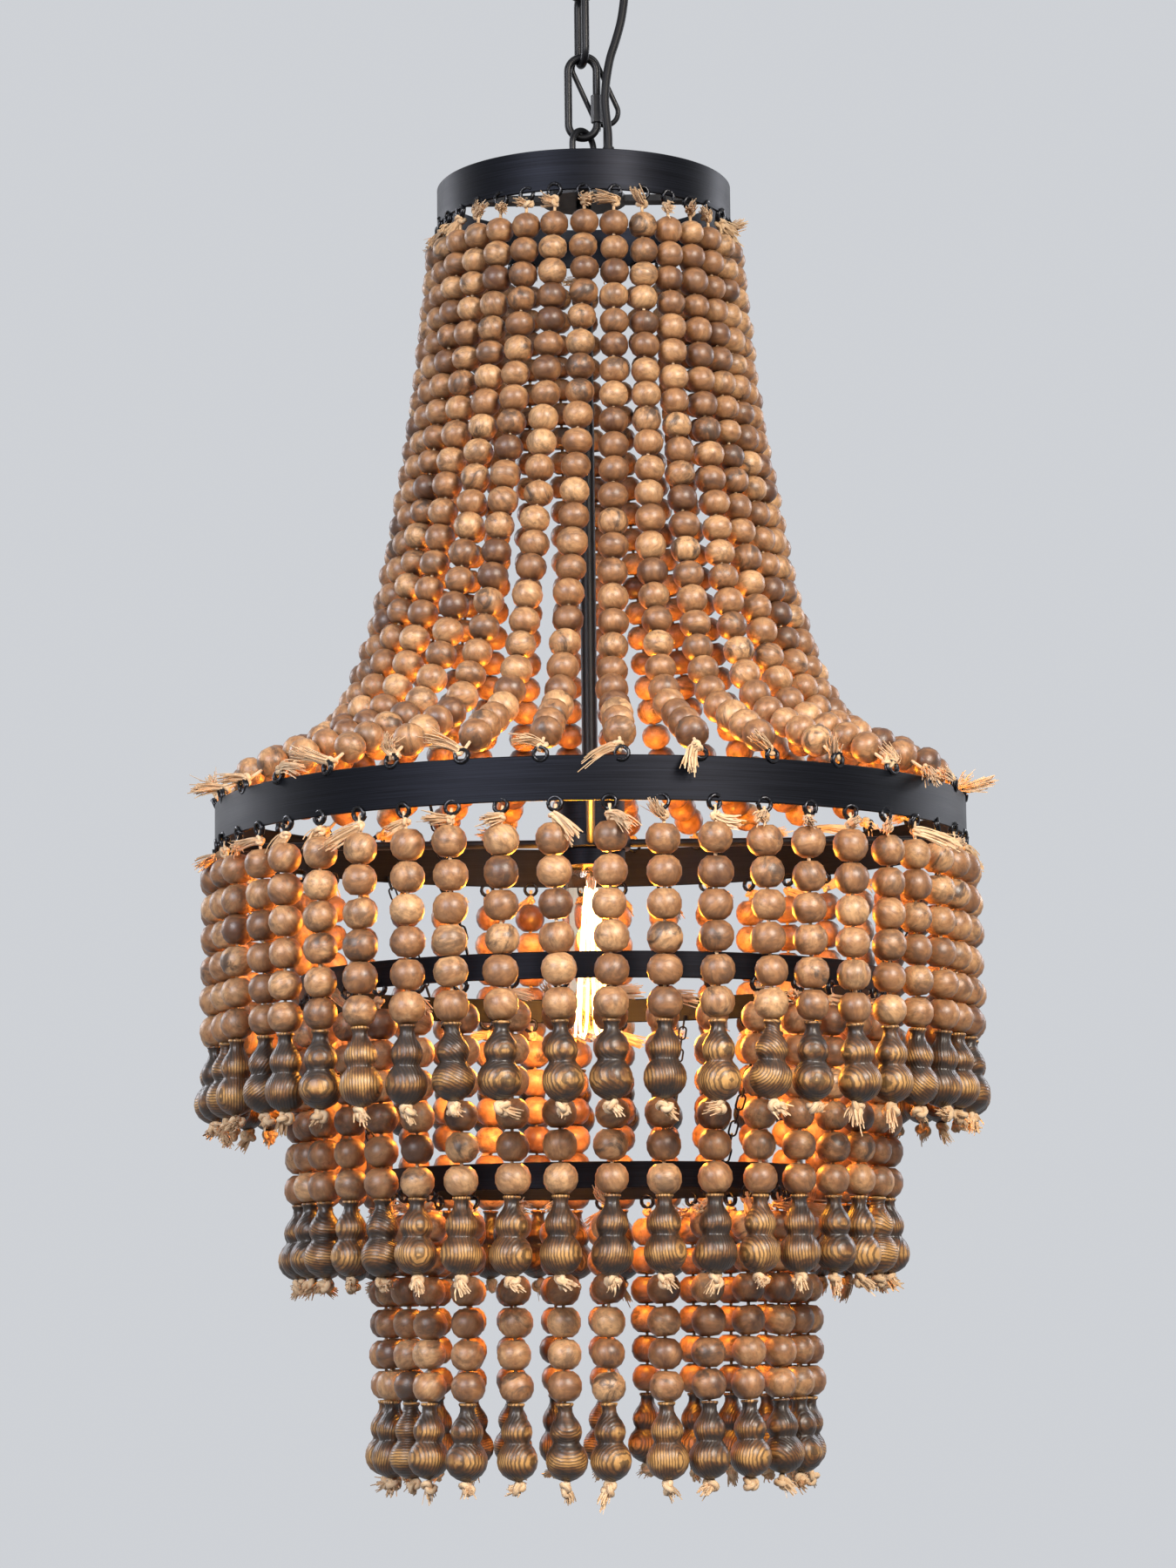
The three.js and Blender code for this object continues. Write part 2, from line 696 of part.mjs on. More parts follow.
// One body from neighbouring strands: each is a stack of four-cornered rings, and the string between their
// two top rings ties each strand to the next.
function curtainGeometry(strands) {
  const index = [];
  const quad = (a, b, c, d) => index.push(a, b, c, a, c, d);
  let start = 0;
  strands.forEach((rings, k) => {
    const corner = (ring, s) => start + ring * 4 + s;
    const tied = { 1: k < strands.length - 1, 3: k > 0 };
    for (let ring = 0; ring < rings.length - 1; ring++)
      for (let s = 0; s < 4; s++) {
        const next = (s + 1) % 4;
        if (ring > 0 || !tied[s])
          quad(corner(ring, s), corner(ring, next), corner(ring + 1, next), corner(ring + 1, s));
      }
    const foot = rings.length - 1;
    quad(corner(0, 3), corner(0, 2), corner(0, 1), corner(0, 0));
    quad(corner(foot, 0), corner(foot, 1), corner(foot, 2), corner(foot, 3));
    if (tied[1]) {
      const beside = (ring, s) => corner(rings.length + ring, s);
      quad(corner(0, 1), corner(0, 2), beside(0, 3), beside(0, 0));
      quad(corner(0, 2), corner(1, 2), beside(1, 3), beside(0, 3));
      quad(corner(1, 2), corner(1, 1), beside(1, 0), beside(1, 3));
      quad(corner(1, 1), corner(0, 1), beside(0, 0), beside(1, 0));
    }
    start += rings.length * 4;
  });
  const geometry = new THREE.BufferGeometry().setFromPoints(strands.flat(2));
  geometry.setIndex(index);
  return facingOut(geometry);
}

// Deals the strands out to curtains, and gives each curtain's strand numbers.
function dealStrands(count, curtains) {
  return Array.from({ length: curtains }, (_, c) => {
    const first = Math.ceil((c * count) / curtains);
    const end = Math.ceil(((c + 1) * count) / curtains);
    return Array.from({ length: end - first }, (_, i) => first + i);
  });
}

// Radius and depth below the hoop's edge, down a skirt strand: string, beads, and the turned finial.
function skirtProfile() {
  const beadTop = beadLead - beadPitch / 2;
  const beadBottom = beadLead + (beadCount - 0.5) * beadPitch;
  const finialEnd = beadBottom + finialLength;
  const neckEnd = beadBottom + finialNeckDiameter;
  const smallMiddle = neckEnd + finialSmallDiameter / 4;
  const largeMiddle = finialEnd - finialLargeDiameter / 2;
  return [
    [stringRadius, strandGap],
    [stringRadius, strandGap + stringBand],
    [beadDiameter / 2, beadTop + beadPitch / 4],
    [beadDiameter / 2, beadBottom - beadPitch / 4],
    [finialNeckDiameter / 2, neckEnd - finialNeckDiameter / 2],
    [finialSmallDiameter / 2, smallMiddle],
    [finialLargeDiameter / 2, largeMiddle],
    [finialKnotRadius, finialEnd + finialKnotLength],
  ];
}

function buildSkirt(name, tier) {
  const radius = (tier.diameter - hoopWall) / 2;
  const edge = tier.bottom;
  const profile = skirtProfile();
  dealStrands(tier.strands, tier.curtains).forEach((numbers, c) => {
    const strands = numbers.map((number) => {
      const angle = tier.firstAngle + (number * 360) / tier.strands;
      const tangent = polar(1, angle + 90, 0);
      const normal = polar(1, angle, 0);
      return profile.map(([half, depth]) => {
        const centre = polar(radius, angle, edge - depth);
        return squareRing(centre, tangent, normal, half);
      });
    });
    addMesh(name + "_" + (c + 1), curtainGeometry(strands), beadWood);
  });
}

// Shares of the way from the top hoop to the middle hoop, outwards and down, along a hanging strand.
const upperLineShares = [
  [0.0, 0.0],
  [0.06, 0.24],
  [0.13, 0.42],
  [0.23, 0.635],
  [0.345, 0.782],
  [0.44, 0.857],
  [0.55, 0.898],
  [0.72, 0.93],
  [0.9, 0.967],
];

function buildUpperStrands() {
  const topRadius = (topHoopDiameter - hoopWall) / 2;
  const footRadius = (middleHoopDiameter - hoopWall) / 2;
  const beadsTop = topHoopBottom - upperLead;
  const beadsFoot = middleHoopTop + gap + stringRadius;
  const wide = upperBeadDiameter / 2;
  const stations = [
    { radius: topRadius, z: topHoopBottom - gap, half: stringRadius, share: 0 },
    { radius: topRadius, z: topHoopBottom - gap - stringBand, half: stringRadius, share: 0 },
    ...upperLineShares.map(([out, down]) => ({
      radius: topRadius + (footRadius - topRadius) * out,
      z: beadsTop + (beadsFoot - beadsTop) * down,
      half: wide + (upperBeadGrowth / 2) * down,
      share: down,
    })),
    { radius: footRadius, z: beadsFoot, half: stringRadius, share: 1 },
  ];
  const lines = stations.map((station, i) => {
    const before = stations[Math.max(i - 1, 0)];
    const after = stations[Math.min(i + 1, stations.length - 1)];
    const slope = new THREE.Vector2(after.radius - before.radius, after.z - before.z).normalize();
    return i < 2 || i === stations.length - 1 ? new THREE.Vector2(0, -1) : slope;
  });
  dealStrands(upperStrands, upperCurtains).forEach((numbers, c) => {
    const strands = numbers.map((number) => {
      const turn = (number * 360) / upperStrands;
      return stations.map((station, i) => {
        const angle = turn + upperTopAngle + (upperLowerAngle - upperTopAngle) * station.share;
        const outward = polar(1, angle, 0);
        const normal = outward.multiplyScalar(-lines[i].y).add(new THREE.Vector3(0, 0, lines[i].x));
        const centre = polar(station.radius, angle, station.z);
        return squareRing(centre, polar(1, angle + 90, 0), normal, station.half);
      });
    });
    addMesh("upper_strands_" + (c + 1), curtainGeometry(strands), beadWood);
  });
}

// A slim chain as one body: it is narrow where two links meet, and wide one way and then the other between.
function chainGeometry(start, end) {
  const along = end.clone().sub(start);
  const links = Math.max(1, Math.round(along.length() / chainPitch));
  const outward = new THREE.Vector3(along.x, along.y, 0).normalize();
  const tangent = new THREE.Vector3(-outward.y, outward.x, 0);
  const normal = along.clone().normalize().cross(tangent);
  const rings = [];
  for (let i = 0; i <= 2 * links; i++) {
    const centre = start.clone().addScaledVector(along, i / (2 * links));
    const between = i % 2 === 1;
    const wideShare = between ? chainLinkWidth / 2 / chainWire : 1;
    const firstWay = i % 4 === 1;
    const acrossShare = firstWay ? wideShare : 1;
    const outShare = between && !firstWay ? wideShare : 1;
    rings.push(squareRing(centre, tangent, normal, chainWire, acrossShare, outShare));
  }
  return loft(rings, false);
}

function buildChains(name, upper, lower, strandNumbers) {
  const startRadius = hoopInside(upper.diameter) - chainWire;
  const endRadius = (lower.diameter - hoopWall) / 2;
  strandNumbers.forEach((number, k) => {
    const angle = upper.firstAngle + ((number + 0.5) * 360) / upper.strands;
    const start = polar(startRadius, angle, upper.bottom + hookRise);
    const end = polar(endRadius, angle, lower.top + gap + chainWire / 2);
    addMesh(name + "_" + (k + 1), chainGeometry(start, end), chainSteel);
  });
}

buildCeilingFitting();
buildLinks();
buildGuideLink();
buildFrame();
buildLamp();
buildFlex();
buildUpperStrands();
buildSkirt("outer_skirt", middleTier);
buildSkirt("second_skirt", secondTier);
buildSkirt("third_skirt", thirdTier);
buildChains("second_chain", middleTier, secondTier, secondChainStrands);
buildChains("third_chain", secondTier, thirdTier, thirdChainStrands);

export default chandelier;
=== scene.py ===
"""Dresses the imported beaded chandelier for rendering: wooden beads and turned finials on jute string,
brushed hoops, links, a lit bulb and a plain studio. All is in metres, +Z up, and -Y is the front."""

import math
from functools import wraps

import bpy
import numpy as np
from mathutils import Matrix, Vector


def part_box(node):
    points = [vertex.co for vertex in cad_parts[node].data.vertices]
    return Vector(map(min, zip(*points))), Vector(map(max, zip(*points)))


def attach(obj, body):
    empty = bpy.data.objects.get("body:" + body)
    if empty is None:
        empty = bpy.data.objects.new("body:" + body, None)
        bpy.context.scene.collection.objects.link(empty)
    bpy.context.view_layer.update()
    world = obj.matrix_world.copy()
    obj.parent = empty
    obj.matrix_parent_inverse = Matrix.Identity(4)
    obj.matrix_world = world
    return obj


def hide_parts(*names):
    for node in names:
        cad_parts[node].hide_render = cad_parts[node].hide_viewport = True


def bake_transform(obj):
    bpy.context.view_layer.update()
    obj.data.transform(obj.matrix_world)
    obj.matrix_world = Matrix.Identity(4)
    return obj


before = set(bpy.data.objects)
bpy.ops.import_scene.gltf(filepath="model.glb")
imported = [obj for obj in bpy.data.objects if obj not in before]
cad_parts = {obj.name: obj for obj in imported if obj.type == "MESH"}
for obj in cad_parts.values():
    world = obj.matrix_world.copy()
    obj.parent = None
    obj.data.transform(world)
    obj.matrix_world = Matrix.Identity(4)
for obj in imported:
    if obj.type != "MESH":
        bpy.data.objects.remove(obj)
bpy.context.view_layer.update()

bl_info = {
    "name": "Beaded chandelier",
    "version": (1, 0, 0),
    "blender": (4, 5, 0),
    "location": "3D View > Sidebar > Chandelier",
    "description": "Builds a chandelier of wooden beads round its packed frame",
    "category": "Object",
}

# Hoops, as the frame has them
HOOP_WALL = 0.0018
HOOP_EASE_SHARE = 0.28
EDGE_GAP = 0.0003
STRING_GAP = 0.0009

# Each hoop with strands under it: its node, body, curtains and strands, and the first strand's angle
TIERS = {
    "outer_skirt": {
        "hoop": "middle_hoop", "body": "lamp_frame", "curtains": 8, "strands": 48, "angle": 2.65,
    },
    "second_skirt": {
        "hoop": "second_hoop", "body": "second_hoop", "curtains": 8, "strands": 38, "angle": 3.6,
    },
    "third_skirt": {
        "hoop": "third_hoop", "body": "third_hoop", "curtains": 6, "strands": 27, "angle": 4.3,
    },
}

# Upper strands: bare string over the first bead, over the middle hoop and in all, and its lap at a hoop
UPPER_LEAD = 0.013
UPPER_FOOT_RISE = 0.0013
UPPER_SPARE = 0.014
UPPER_LAP = 0.003
UPPER_TOP_ANGLE = 11.5
UPPER_LOWER_ANGLE = 4.2
UPPER_CURTAINS = 4

# Shares of the way from the top hoop to the middle hoop, outwards and down, along a hanging strand
UPPER_LINE_SHARES = np.array(
    [
        (0.0, 0.0),
        (0.06, 0.24),
        (0.13, 0.42),
        (0.23, 0.635),
        (0.345, 0.782),
        (0.44, 0.857),
        (0.55, 0.898),
        (0.72, 0.93),
        (0.9, 0.967),
        (1.0, 1.0),
    ]
)

# Radius and depth down a finial, in shares of its length: lip, neck, small ball, waist, large ball, foot
FINIAL_SHARES = np.array(
    [
        (0.0, 0.0),
        (0.108, 0.004),
        (0.116, 0.022),
        (0.106, 0.042),
        (0.093, 0.062),
        (0.096, 0.12),
        (0.122, 0.18),
        (0.165, 0.24),
        (0.2, 0.31),
        (0.209, 0.38),
        (0.192, 0.45),
        (0.168, 0.495),
        (0.178, 0.525),
        (0.228, 0.585),
        (0.264, 0.665),
        (0.273, 0.75),
        (0.253, 0.835),
        (0.2, 0.915),
        (0.12, 0.97),
        (0.04, 1.0),
        (0.0, 0.99),
    ]
)

# Where a finial is rubbed to gold, in shares of its length: depth, reach and strength, for balls and lip
GOLD_SHARES = ((0.36, 0.07, 0.7225), (0.73, 0.11, 0.85), (0.015, 0.02, 0.935))

# Links, loop and eye, and the hole for the loop's shank in canopy and nut
LINK_WIRE = 0.0048
SHANK_HOLE = 0.0043
LOWER_LINK_TURN = 15
GUIDE_LENGTH = 0.049
GUIDE_WIDTH = 0.019
GUIDE_WIRE = 0.0032
GUIDE_TOP = (-0.0014, 0.00405, -0.12867)
GUIDE_SLANT = 24
GUIDE_LEAN = 6
TETHER_WIRE = 0.003
EYE_WIRE = 0.004
EYE_WIDTH = 0.024
EYE_TURN = 50

# Chains that carry the second and third hoops
CHAINS = (("second", "middle_hoop", "second_hoop"), ("third", "second_hoop", "third_hoop"))
CHAINS_EACH = 3
CHAIN_LINK_LENGTH = 0.0105
CHAIN_LINK_WIDTH = 0.0056
CHAIN_WIRE = 0.0012

# The flex and its route from the canopy to the gland, as the frame has it
FLEX_WIDTH = 0.0052
FLEX_ROUTE = np.array(
    [
        (0.02, -0.002, -0.0316),
        (0.02, -0.002, -0.038),
        (0.0208, -0.0022, -0.047),
        (0.0228, -0.0025, -0.057),
        (0.0252, -0.003, -0.067),
        (0.0268, -0.0035, -0.079),
        (0.0265, -0.004, -0.093),
        (0.0244, -0.0046, -0.108),
        (0.021, -0.0053, -0.121),
        (0.0173, -0.0062, -0.133),
        (0.0148, -0.0072, -0.147),
        (0.0138, -0.0076, -0.16),
        (0.0146, -0.0071, -0.172),
        (0.0155, -0.0063, -0.181),
        (0.0156, -0.006, -0.1892),
    ]
)
FLEX_JOIN_SHARE = 0.28

# The studio: a wide floor well below the lamp, and four softboxes with their places, widths and colours
FLOOR_RADIUS = 7.0
FLOOR_THICKNESS = 0.01
FLOOR_HEIGHT = -1.75
FLOOR_GLOW_SHARE = 0.72
BACKDROP_STRENGTH = 0.85
VIEW_DEPTH = 30.0
LIGHT_TARGET = (0, 0, -0.77)
SOFTBOXES = (
    ("key_softbox", "key_power", (1.1, -2.0, 0.3), 0.9, "#FFF6EA"),
    ("fill_softbox", "fill_power", (-1.3, -2.0, 0.1), 1.4, "#F6F7FF"),
    ("left_back_softbox", "back_power", (-2.1, 1.6, 0.2), 1.0, "#F6F7FF"),
    ("right_back_softbox", "back_power", (2.1, 1.6, 0.2), 1.0, "#F6F7FF"),
)

# Axes, and a direction that no string or fibre follows, from which its rings start
ALONG_X = np.array([1.0, 0.0, 0.0])
ALONG_Y = np.array([0.0, 1.0, 0.0])
ALONG_Z = np.array([0.0, 0.0, 1.0])
ASLANT = np.array([0.31, 0.87, 0.38])

# A piece that is round all over is shaded smooth up to this many degrees between faces
ROUND_DEGREES = 80


def linear(hex_colour):
    """An sRGB hex colour as linear red, green, blue and alpha."""
    part = np.array([int(hex_colour[i : i + 2], 16) for i in (1, 3, 5)]) / 255
    part = np.where(part <= 0.04045, part / 12.92, ((part + 0.055) / 1.055) ** 2.4)
    return (*part.tolist(), 1.0)


# Shapes: points, quads and triangles as arrays, with values carried at each point


class Shape:
    """A surface as arrays, and the values that its points carry by name."""

    def __init__(self, points, quads=(), triangles=(), **carried):
        self.points = np.asarray(points, float).reshape(-1, 3)
        self.quads = np.asarray(quads, int).reshape(-1, 4)
        self.triangles = np.asarray(triangles, int).reshape(-1, 3)
        self.carried = {name: np.asarray(value, float) for name, value in carried.items()}

    def inside_out(self):
        """Turns every face round."""
        self.quads, self.triangles = self.quads[:, ::-1], self.triangles[:, ::-1]
        return self

    def facing_out(self):
        """Turns every face round if the volume inside, summed over cones from the origin, is below zero."""
        faces = np.vstack([self.quads[:, [0, 1, 2]], self.quads[:, [0, 2, 3]], self.triangles])
        first, second, third = self.points[faces].transpose(1, 0, 2)
        return self.inside_out() if np.sum(first * np.cross(second, third)) < 0 else self


def joined(shapes):
    """One shape from several: face numbers are shifted past the points before them."""
    shapes = list(shapes)
    starts = np.cumsum([0] + [len(shape.points) for shape in shapes])
    names = set.intersection(*(set(shape.carried) for shape in shapes))
    return Shape(
        np.vstack([shape.points for shape in shapes]),
        np.vstack([shape.quads + start for shape, start in zip(shapes, starts)]),
        np.vstack([shape.triangles + start for shape, start in zip(shapes, starts)]),
        **{name: np.concatenate([shape.carried[name] for shape in shapes]) for name in names},
    )


def copies(shape, turns, centres, scales, **varied):
    """A shape many times: each point is scaled, turned by its copy's matrix and moved to its centre. Varied
    values are one for each copy, and carried ones repeat."""
    count, size = len(centres), len(shape.points)
    scaled = shape.points[None] * np.asarray(scales).reshape(count, -1)[:, None]
    points = np.einsum("kij,kmj->kmi", turns, scaled)
    shift = np.arange(count)[:, None, None] * size
    carried = {name: np.concatenate([value] * count) for name, value in shape.carried.items()}
    carried.update({name: np.repeat(value, size, axis=0) for name, value in varied.items()})
    return Shape(
        points + np.asarray(centres)[:, None],
        (shape.quads[None] + shift).reshape(-1, 4),
        (shape.triangles[None] + shift).reshape(-1, 3),
        **carried,
    )


def full_turn(sides):
    """Even steps of a full turn, in radians, without its last point."""
    return np.linspace(0, 2 * math.pi, sides, endpoint=False)


def travelled(line):
    """The way gone at each point of a line: the lengths of the steps before it, summed."""
    return np.concatenate([[0], np.cumsum(np.linalg.norm(np.diff(line, axis=0), axis=1))])


def unit(vectors):
    """Vectors divided by their lengths."""
    return vectors / np.linalg.norm(vectors, axis=-1, keepdims=True)


def grid_quads(rows, columns, rows_closed=False):
    """Quads of a grid whose columns go round: each corner with those in the next row and column."""
    row = np.arange(rows if rows_closed else rows - 1)[:, None]
    column = np.arange(columns)[None]
    near, far = row * columns, (row + 1) % rows * columns
    after = (column + 1) % columns
    corners = np.broadcast_arrays(near + column, near + after, far + after, far + column)
    return np.stack(corners, -1).reshape(-1, 4)


def capped(rings, start, end, **carried):
    """A surface through rings of points, closed at each end by a fan: triangles from one point to each pair
    of neighbours in the ring."""
    rows, sides = rings.shape[:2]
    side = np.arange(sides)
    after = (side + 1) % sides
    head = np.full(sides, rows * sides)
    foot = (rows - 1) * sides
    fans = [[head, after, side], [head + 1, foot + side, foot + after]]
    fans = np.concatenate([np.stack(fan, -1) for fan in fans])
    points = np.vstack([rings.reshape(-1, 3), start, end])
    return Shape(points, grid_quads(rows, sides), fans, **carried).facing_out()


def turned_profile(radii, heights, sides):
    """Rings of a profile turned about Z: x, y = radius times cosine and sine of the turn."""
    turn = full_turn(sides)
    radii, heights = np.asarray(radii, float)[:, None], np.asarray(heights, float)[:, None]
    return np.stack(np.broadcast_arrays(radii * np.cos(turn), radii * np.sin(turn), heights), -1)


def capped_lathe(radii, heights, sides):
    """A profile turned about Z, whose first and last points lie on the axis and close the ends."""
    rings = turned_profile(radii[1:-1], heights[1:-1], sides)
    return capped(rings, [0, 0, heights[0]], [0, 0, heights[-1]])


def ring_lathe(radii, heights, sides):
    """A closed profile turned about Z, such as a band or a nut. It carries the way round, out and up."""
    points = turned_profile(radii, heights, sides)
    radii, heights = np.asarray(radii, float)[:, None], np.asarray(heights, float)[:, None]
    around = np.abs(full_turn(sides) - math.pi)[None] * radii.max()
    way = np.stack(np.broadcast_arrays(around, radii, heights), -1)
    return Shape(points, grid_quads(len(radii), sides, True), along=way.reshape(-1, 3)).facing_out()


def smooth_line(knots, count, fine=24):
    """Points at even steps along the Catmull-Rom curve through the knots: each stretch is the cubic whose
    slopes at its ends are half the way between the neighbours of each end."""
    knots = np.asarray(knots, float)
    padded = np.vstack([2 * knots[0] - knots[1], knots, 2 * knots[-1] - knots[-2]])
    share = np.linspace(0, 1, fine, endpoint=False)[None, :, None]
    a, b, c, d = (padded[i : len(padded) - 3 + i, None] for i in range(4))
    square, cube = 2 * a - 5 * b + 4 * c - d, 3 * b - a - 3 * c + d
    curve = 0.5 * (2 * b + (c - a) * share + square * share**2 + cube * share**3)
    curve = np.vstack([curve.reshape(-1, knots.shape[1]), knots[-1]])
    way = travelled(curve)
    wanted = np.linspace(0, way[-1], count)
    return np.stack([np.interp(wanted, way, axis) for axis in curve.T], -1)


def rings_along(line, tangent, across, radius, sides):
    """Round sections carried along one or more lines: line + radius * (side * cos + rise * sin), where side
    is square to the line and to the direction across, and rise to the line and side."""
    side = unit(np.cross(np.broadcast_to(across, line.shape), tangent))
    rise = np.cross(tangent, side)
    turn = full_turn(sides)[:, None]
    spoke = side[..., None, :] * np.cos(turn) + rise[..., None, :] * np.sin(turn)
    return line[..., None, :] + radius * spoke


def tube(line, radius, sides, across, closed=False):
    """A round section along a line. It carries the way along, round and out. Open ends close in a fan."""
    line = np.asarray(line, float)
    tangent = np.roll(line, -1, 0) - np.roll(line, 1, 0) if closed else np.gradient(line, axis=0)
    rings = rings_along(line, unit(tangent), across, radius, sides)
    way = np.broadcast_arrays(travelled(line)[:, None], full_turn(sides) * radius, radius)
    way = np.stack(way, -1).reshape(-1, 3)
    if closed:
        return Shape(rings, grid_quads(len(line), sides, True), along=way).facing_out()
    return capped(rings, line[0], line[-1], along=np.vstack([way, way[:1], way[-1:]]))


def polar(radius, angle, height):
    """Points at radii, at angles in degrees from the front, growing towards +X."""
    angle = np.radians(angle)
    return np.stack(np.broadcast_arrays(radius * np.sin(angle), -radius * np.cos(angle), height), -1)


def turned_to(directions, spins):
    """Matrices that turn +Z to each direction, after a spin about Z. The columns are right-handed axes."""
    directions = unit(directions)
    # The axis that a direction isn't near starts its set of axes.
    helper = np.where(np.abs(directions[:, :1]) < 0.8, ALONG_X, ALONG_Y)
    first = unit(np.cross(helper, directions))
    second = np.cross(directions, first)
    cosine, sine = np.cos(spins)[:, None], np.sin(spins)[:, None]
    return np.stack([first * cosine + second * sine, second * cosine - first * sine, directions], -1)


def any_spins(random, count):
    """Random angles of up to a full turn."""
    return random.uniform(0, 2 * math.pi, count)


def any_turns(random, count):
    """Matrices that turn a point any way, from random directions and spins."""
    return turned_to(random.normal(size=(count, 3)), any_spins(random, count))


def spun(points, degrees, axis="Z"):
    """Points turned about an axis through the origin."""
    return np.asarray(points, float) @ np.array(Matrix.Rotation(math.radians(degrees), 3, axis)).T


def add_piece(name, shape, material, body=None, replaces=(), sharp_degrees=35):
    """Makes a mesh object from a shape, with its carried values as attributes, that rides on its body."""
    mesh = bpy.data.meshes.new(name)
    mesh.from_pydata(shape.points.tolist(), [], shape.quads.tolist() + shape.triangles.tolist())
    for carried, value in shape.carried.items():
        kind, field = ("FLOAT_VECTOR", "vector") if value.ndim == 2 else ("FLOAT", "value")
        kept = mesh.attributes.new(carried, kind, "POINT")
        kept.data.foreach_set(field, value.astype(np.float32).ravel())
    mesh.materials.append(material)
    mesh.shade_smooth()
    mesh.set_sharp_from_angle(angle=math.radians(sharp_degrees))
    piece = bpy.data.objects.new(name, mesh)
    bpy.context.scene.collection.objects.link(piece)
    if body:
        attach(piece, body)
    if replaces:
        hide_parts(*replaces)
    return piece


def dress(node, material):
    """Gives a node of the frame its finish."""
    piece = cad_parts[node]
    piece.data.materials.clear()
    piece.data.materials.append(material)


def middle_radius(hoop_width):
    """Radius halfway through a hoop's wall."""
    return (hoop_width - HOOP_WALL) / 2


def hoop_edges(node):
    """Outside diameter, and heights of the lower and upper edges, of a hoop of the frame."""
    low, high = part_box(node)
    return high.x - low.x, low.z, high.z


# Materials

# Inputs of a Mix node for colours
SHARE, UNDER, OVER = 0, 6, 7


def add_node(tree, kind, inputs=None, stops=(), **settings):
    """Adds a node with its settings, and a ramp's stops of place and colour. Each input takes a value, a
    node, whose first live output is linked, or one output of a node."""
    made = tree.nodes.new("ShaderNode" + kind)
    for name, value in settings.items():
        setattr(made, name, value)
    for extra in stops[2:]:
        made.color_ramp.elements.new(extra[0])
    for number, (place, colour) in enumerate(stops):
        element = made.color_ramp.elements[number]
        element.position, element.color = place, colour
    for name, value in (inputs or {}).items():
        if isinstance(value, bpy.types.Node):
            value = next(output for output in value.outputs if output.enabled)
        if isinstance(value, bpy.types.NodeSocket):
            tree.links.new(value, made.inputs[name])
        else:
            made.inputs[name].default_value = value
    return made


def per_metre(millimetres):
    """How often a pattern repeats in a metre, from its size in millimetres, which may differ by axis."""
    return 1000 / np.array(millimetres)


def ring_scale(millimetres):
    """The scale at which a wave texture repeats that spacing: its phase is 20 times the way in metres."""
    return 2 * math.pi / 20 * 1000 / millimetres


def finish(name):
    """Turns a function that fills a node tree and gives back its last shader into one that gives back the
    material of that name, made only once."""

    def wrap(fill):
        @wraps(fill)
        def made():
            material = bpy.data.materials.get(name)
            if material is None:
                material = bpy.data.materials.new(name)
                material.use_nodes = True
                tree = material.node_tree
                tree.nodes.clear()
                add_node(tree, "OutputMaterial", {"Surface": fill(tree)})
            return material

        return made

    return wrap


# What every noise starts from, and every wave that draws a tree's growth rings round its Z axis
NOISE = {"Scale": 1.0, "Detail": 2.0, "Roughness": 0.55}
GROWTH = {"Detail": 2.0, "Detail Scale": 1.2}


def layered(tree, body, layers):
    """Colours laid over a body. Each has a pattern, the two values between which its cover climbs smoothly,
    the share that it then covers, and its colour."""
    for pattern, low, high, share, over in layers:
        limits = {"Value": pattern, "From Min": low, "From Max": high, "To Max": share}
        cover = add_node(tree, "MapRange", limits, interpolation_type="SMOOTHSTEP")
        body = add_node(tree, "Mix", {SHARE: cover, UNDER: body, OVER: over}, data_type="RGBA")
    return body


def shaded(tree, total, parts):
    """A starting total with values added to it, each less a middle value and times a factor."""
    for value, middle, factor in parts:
        part = add_node(tree, "Math", {0: value, 1: middle}, operation="SUBTRACT")
        total = add_node(tree, "Math", {0: part, 1: factor, 2: total}, operation="MULTIPLY_ADD")
    return total


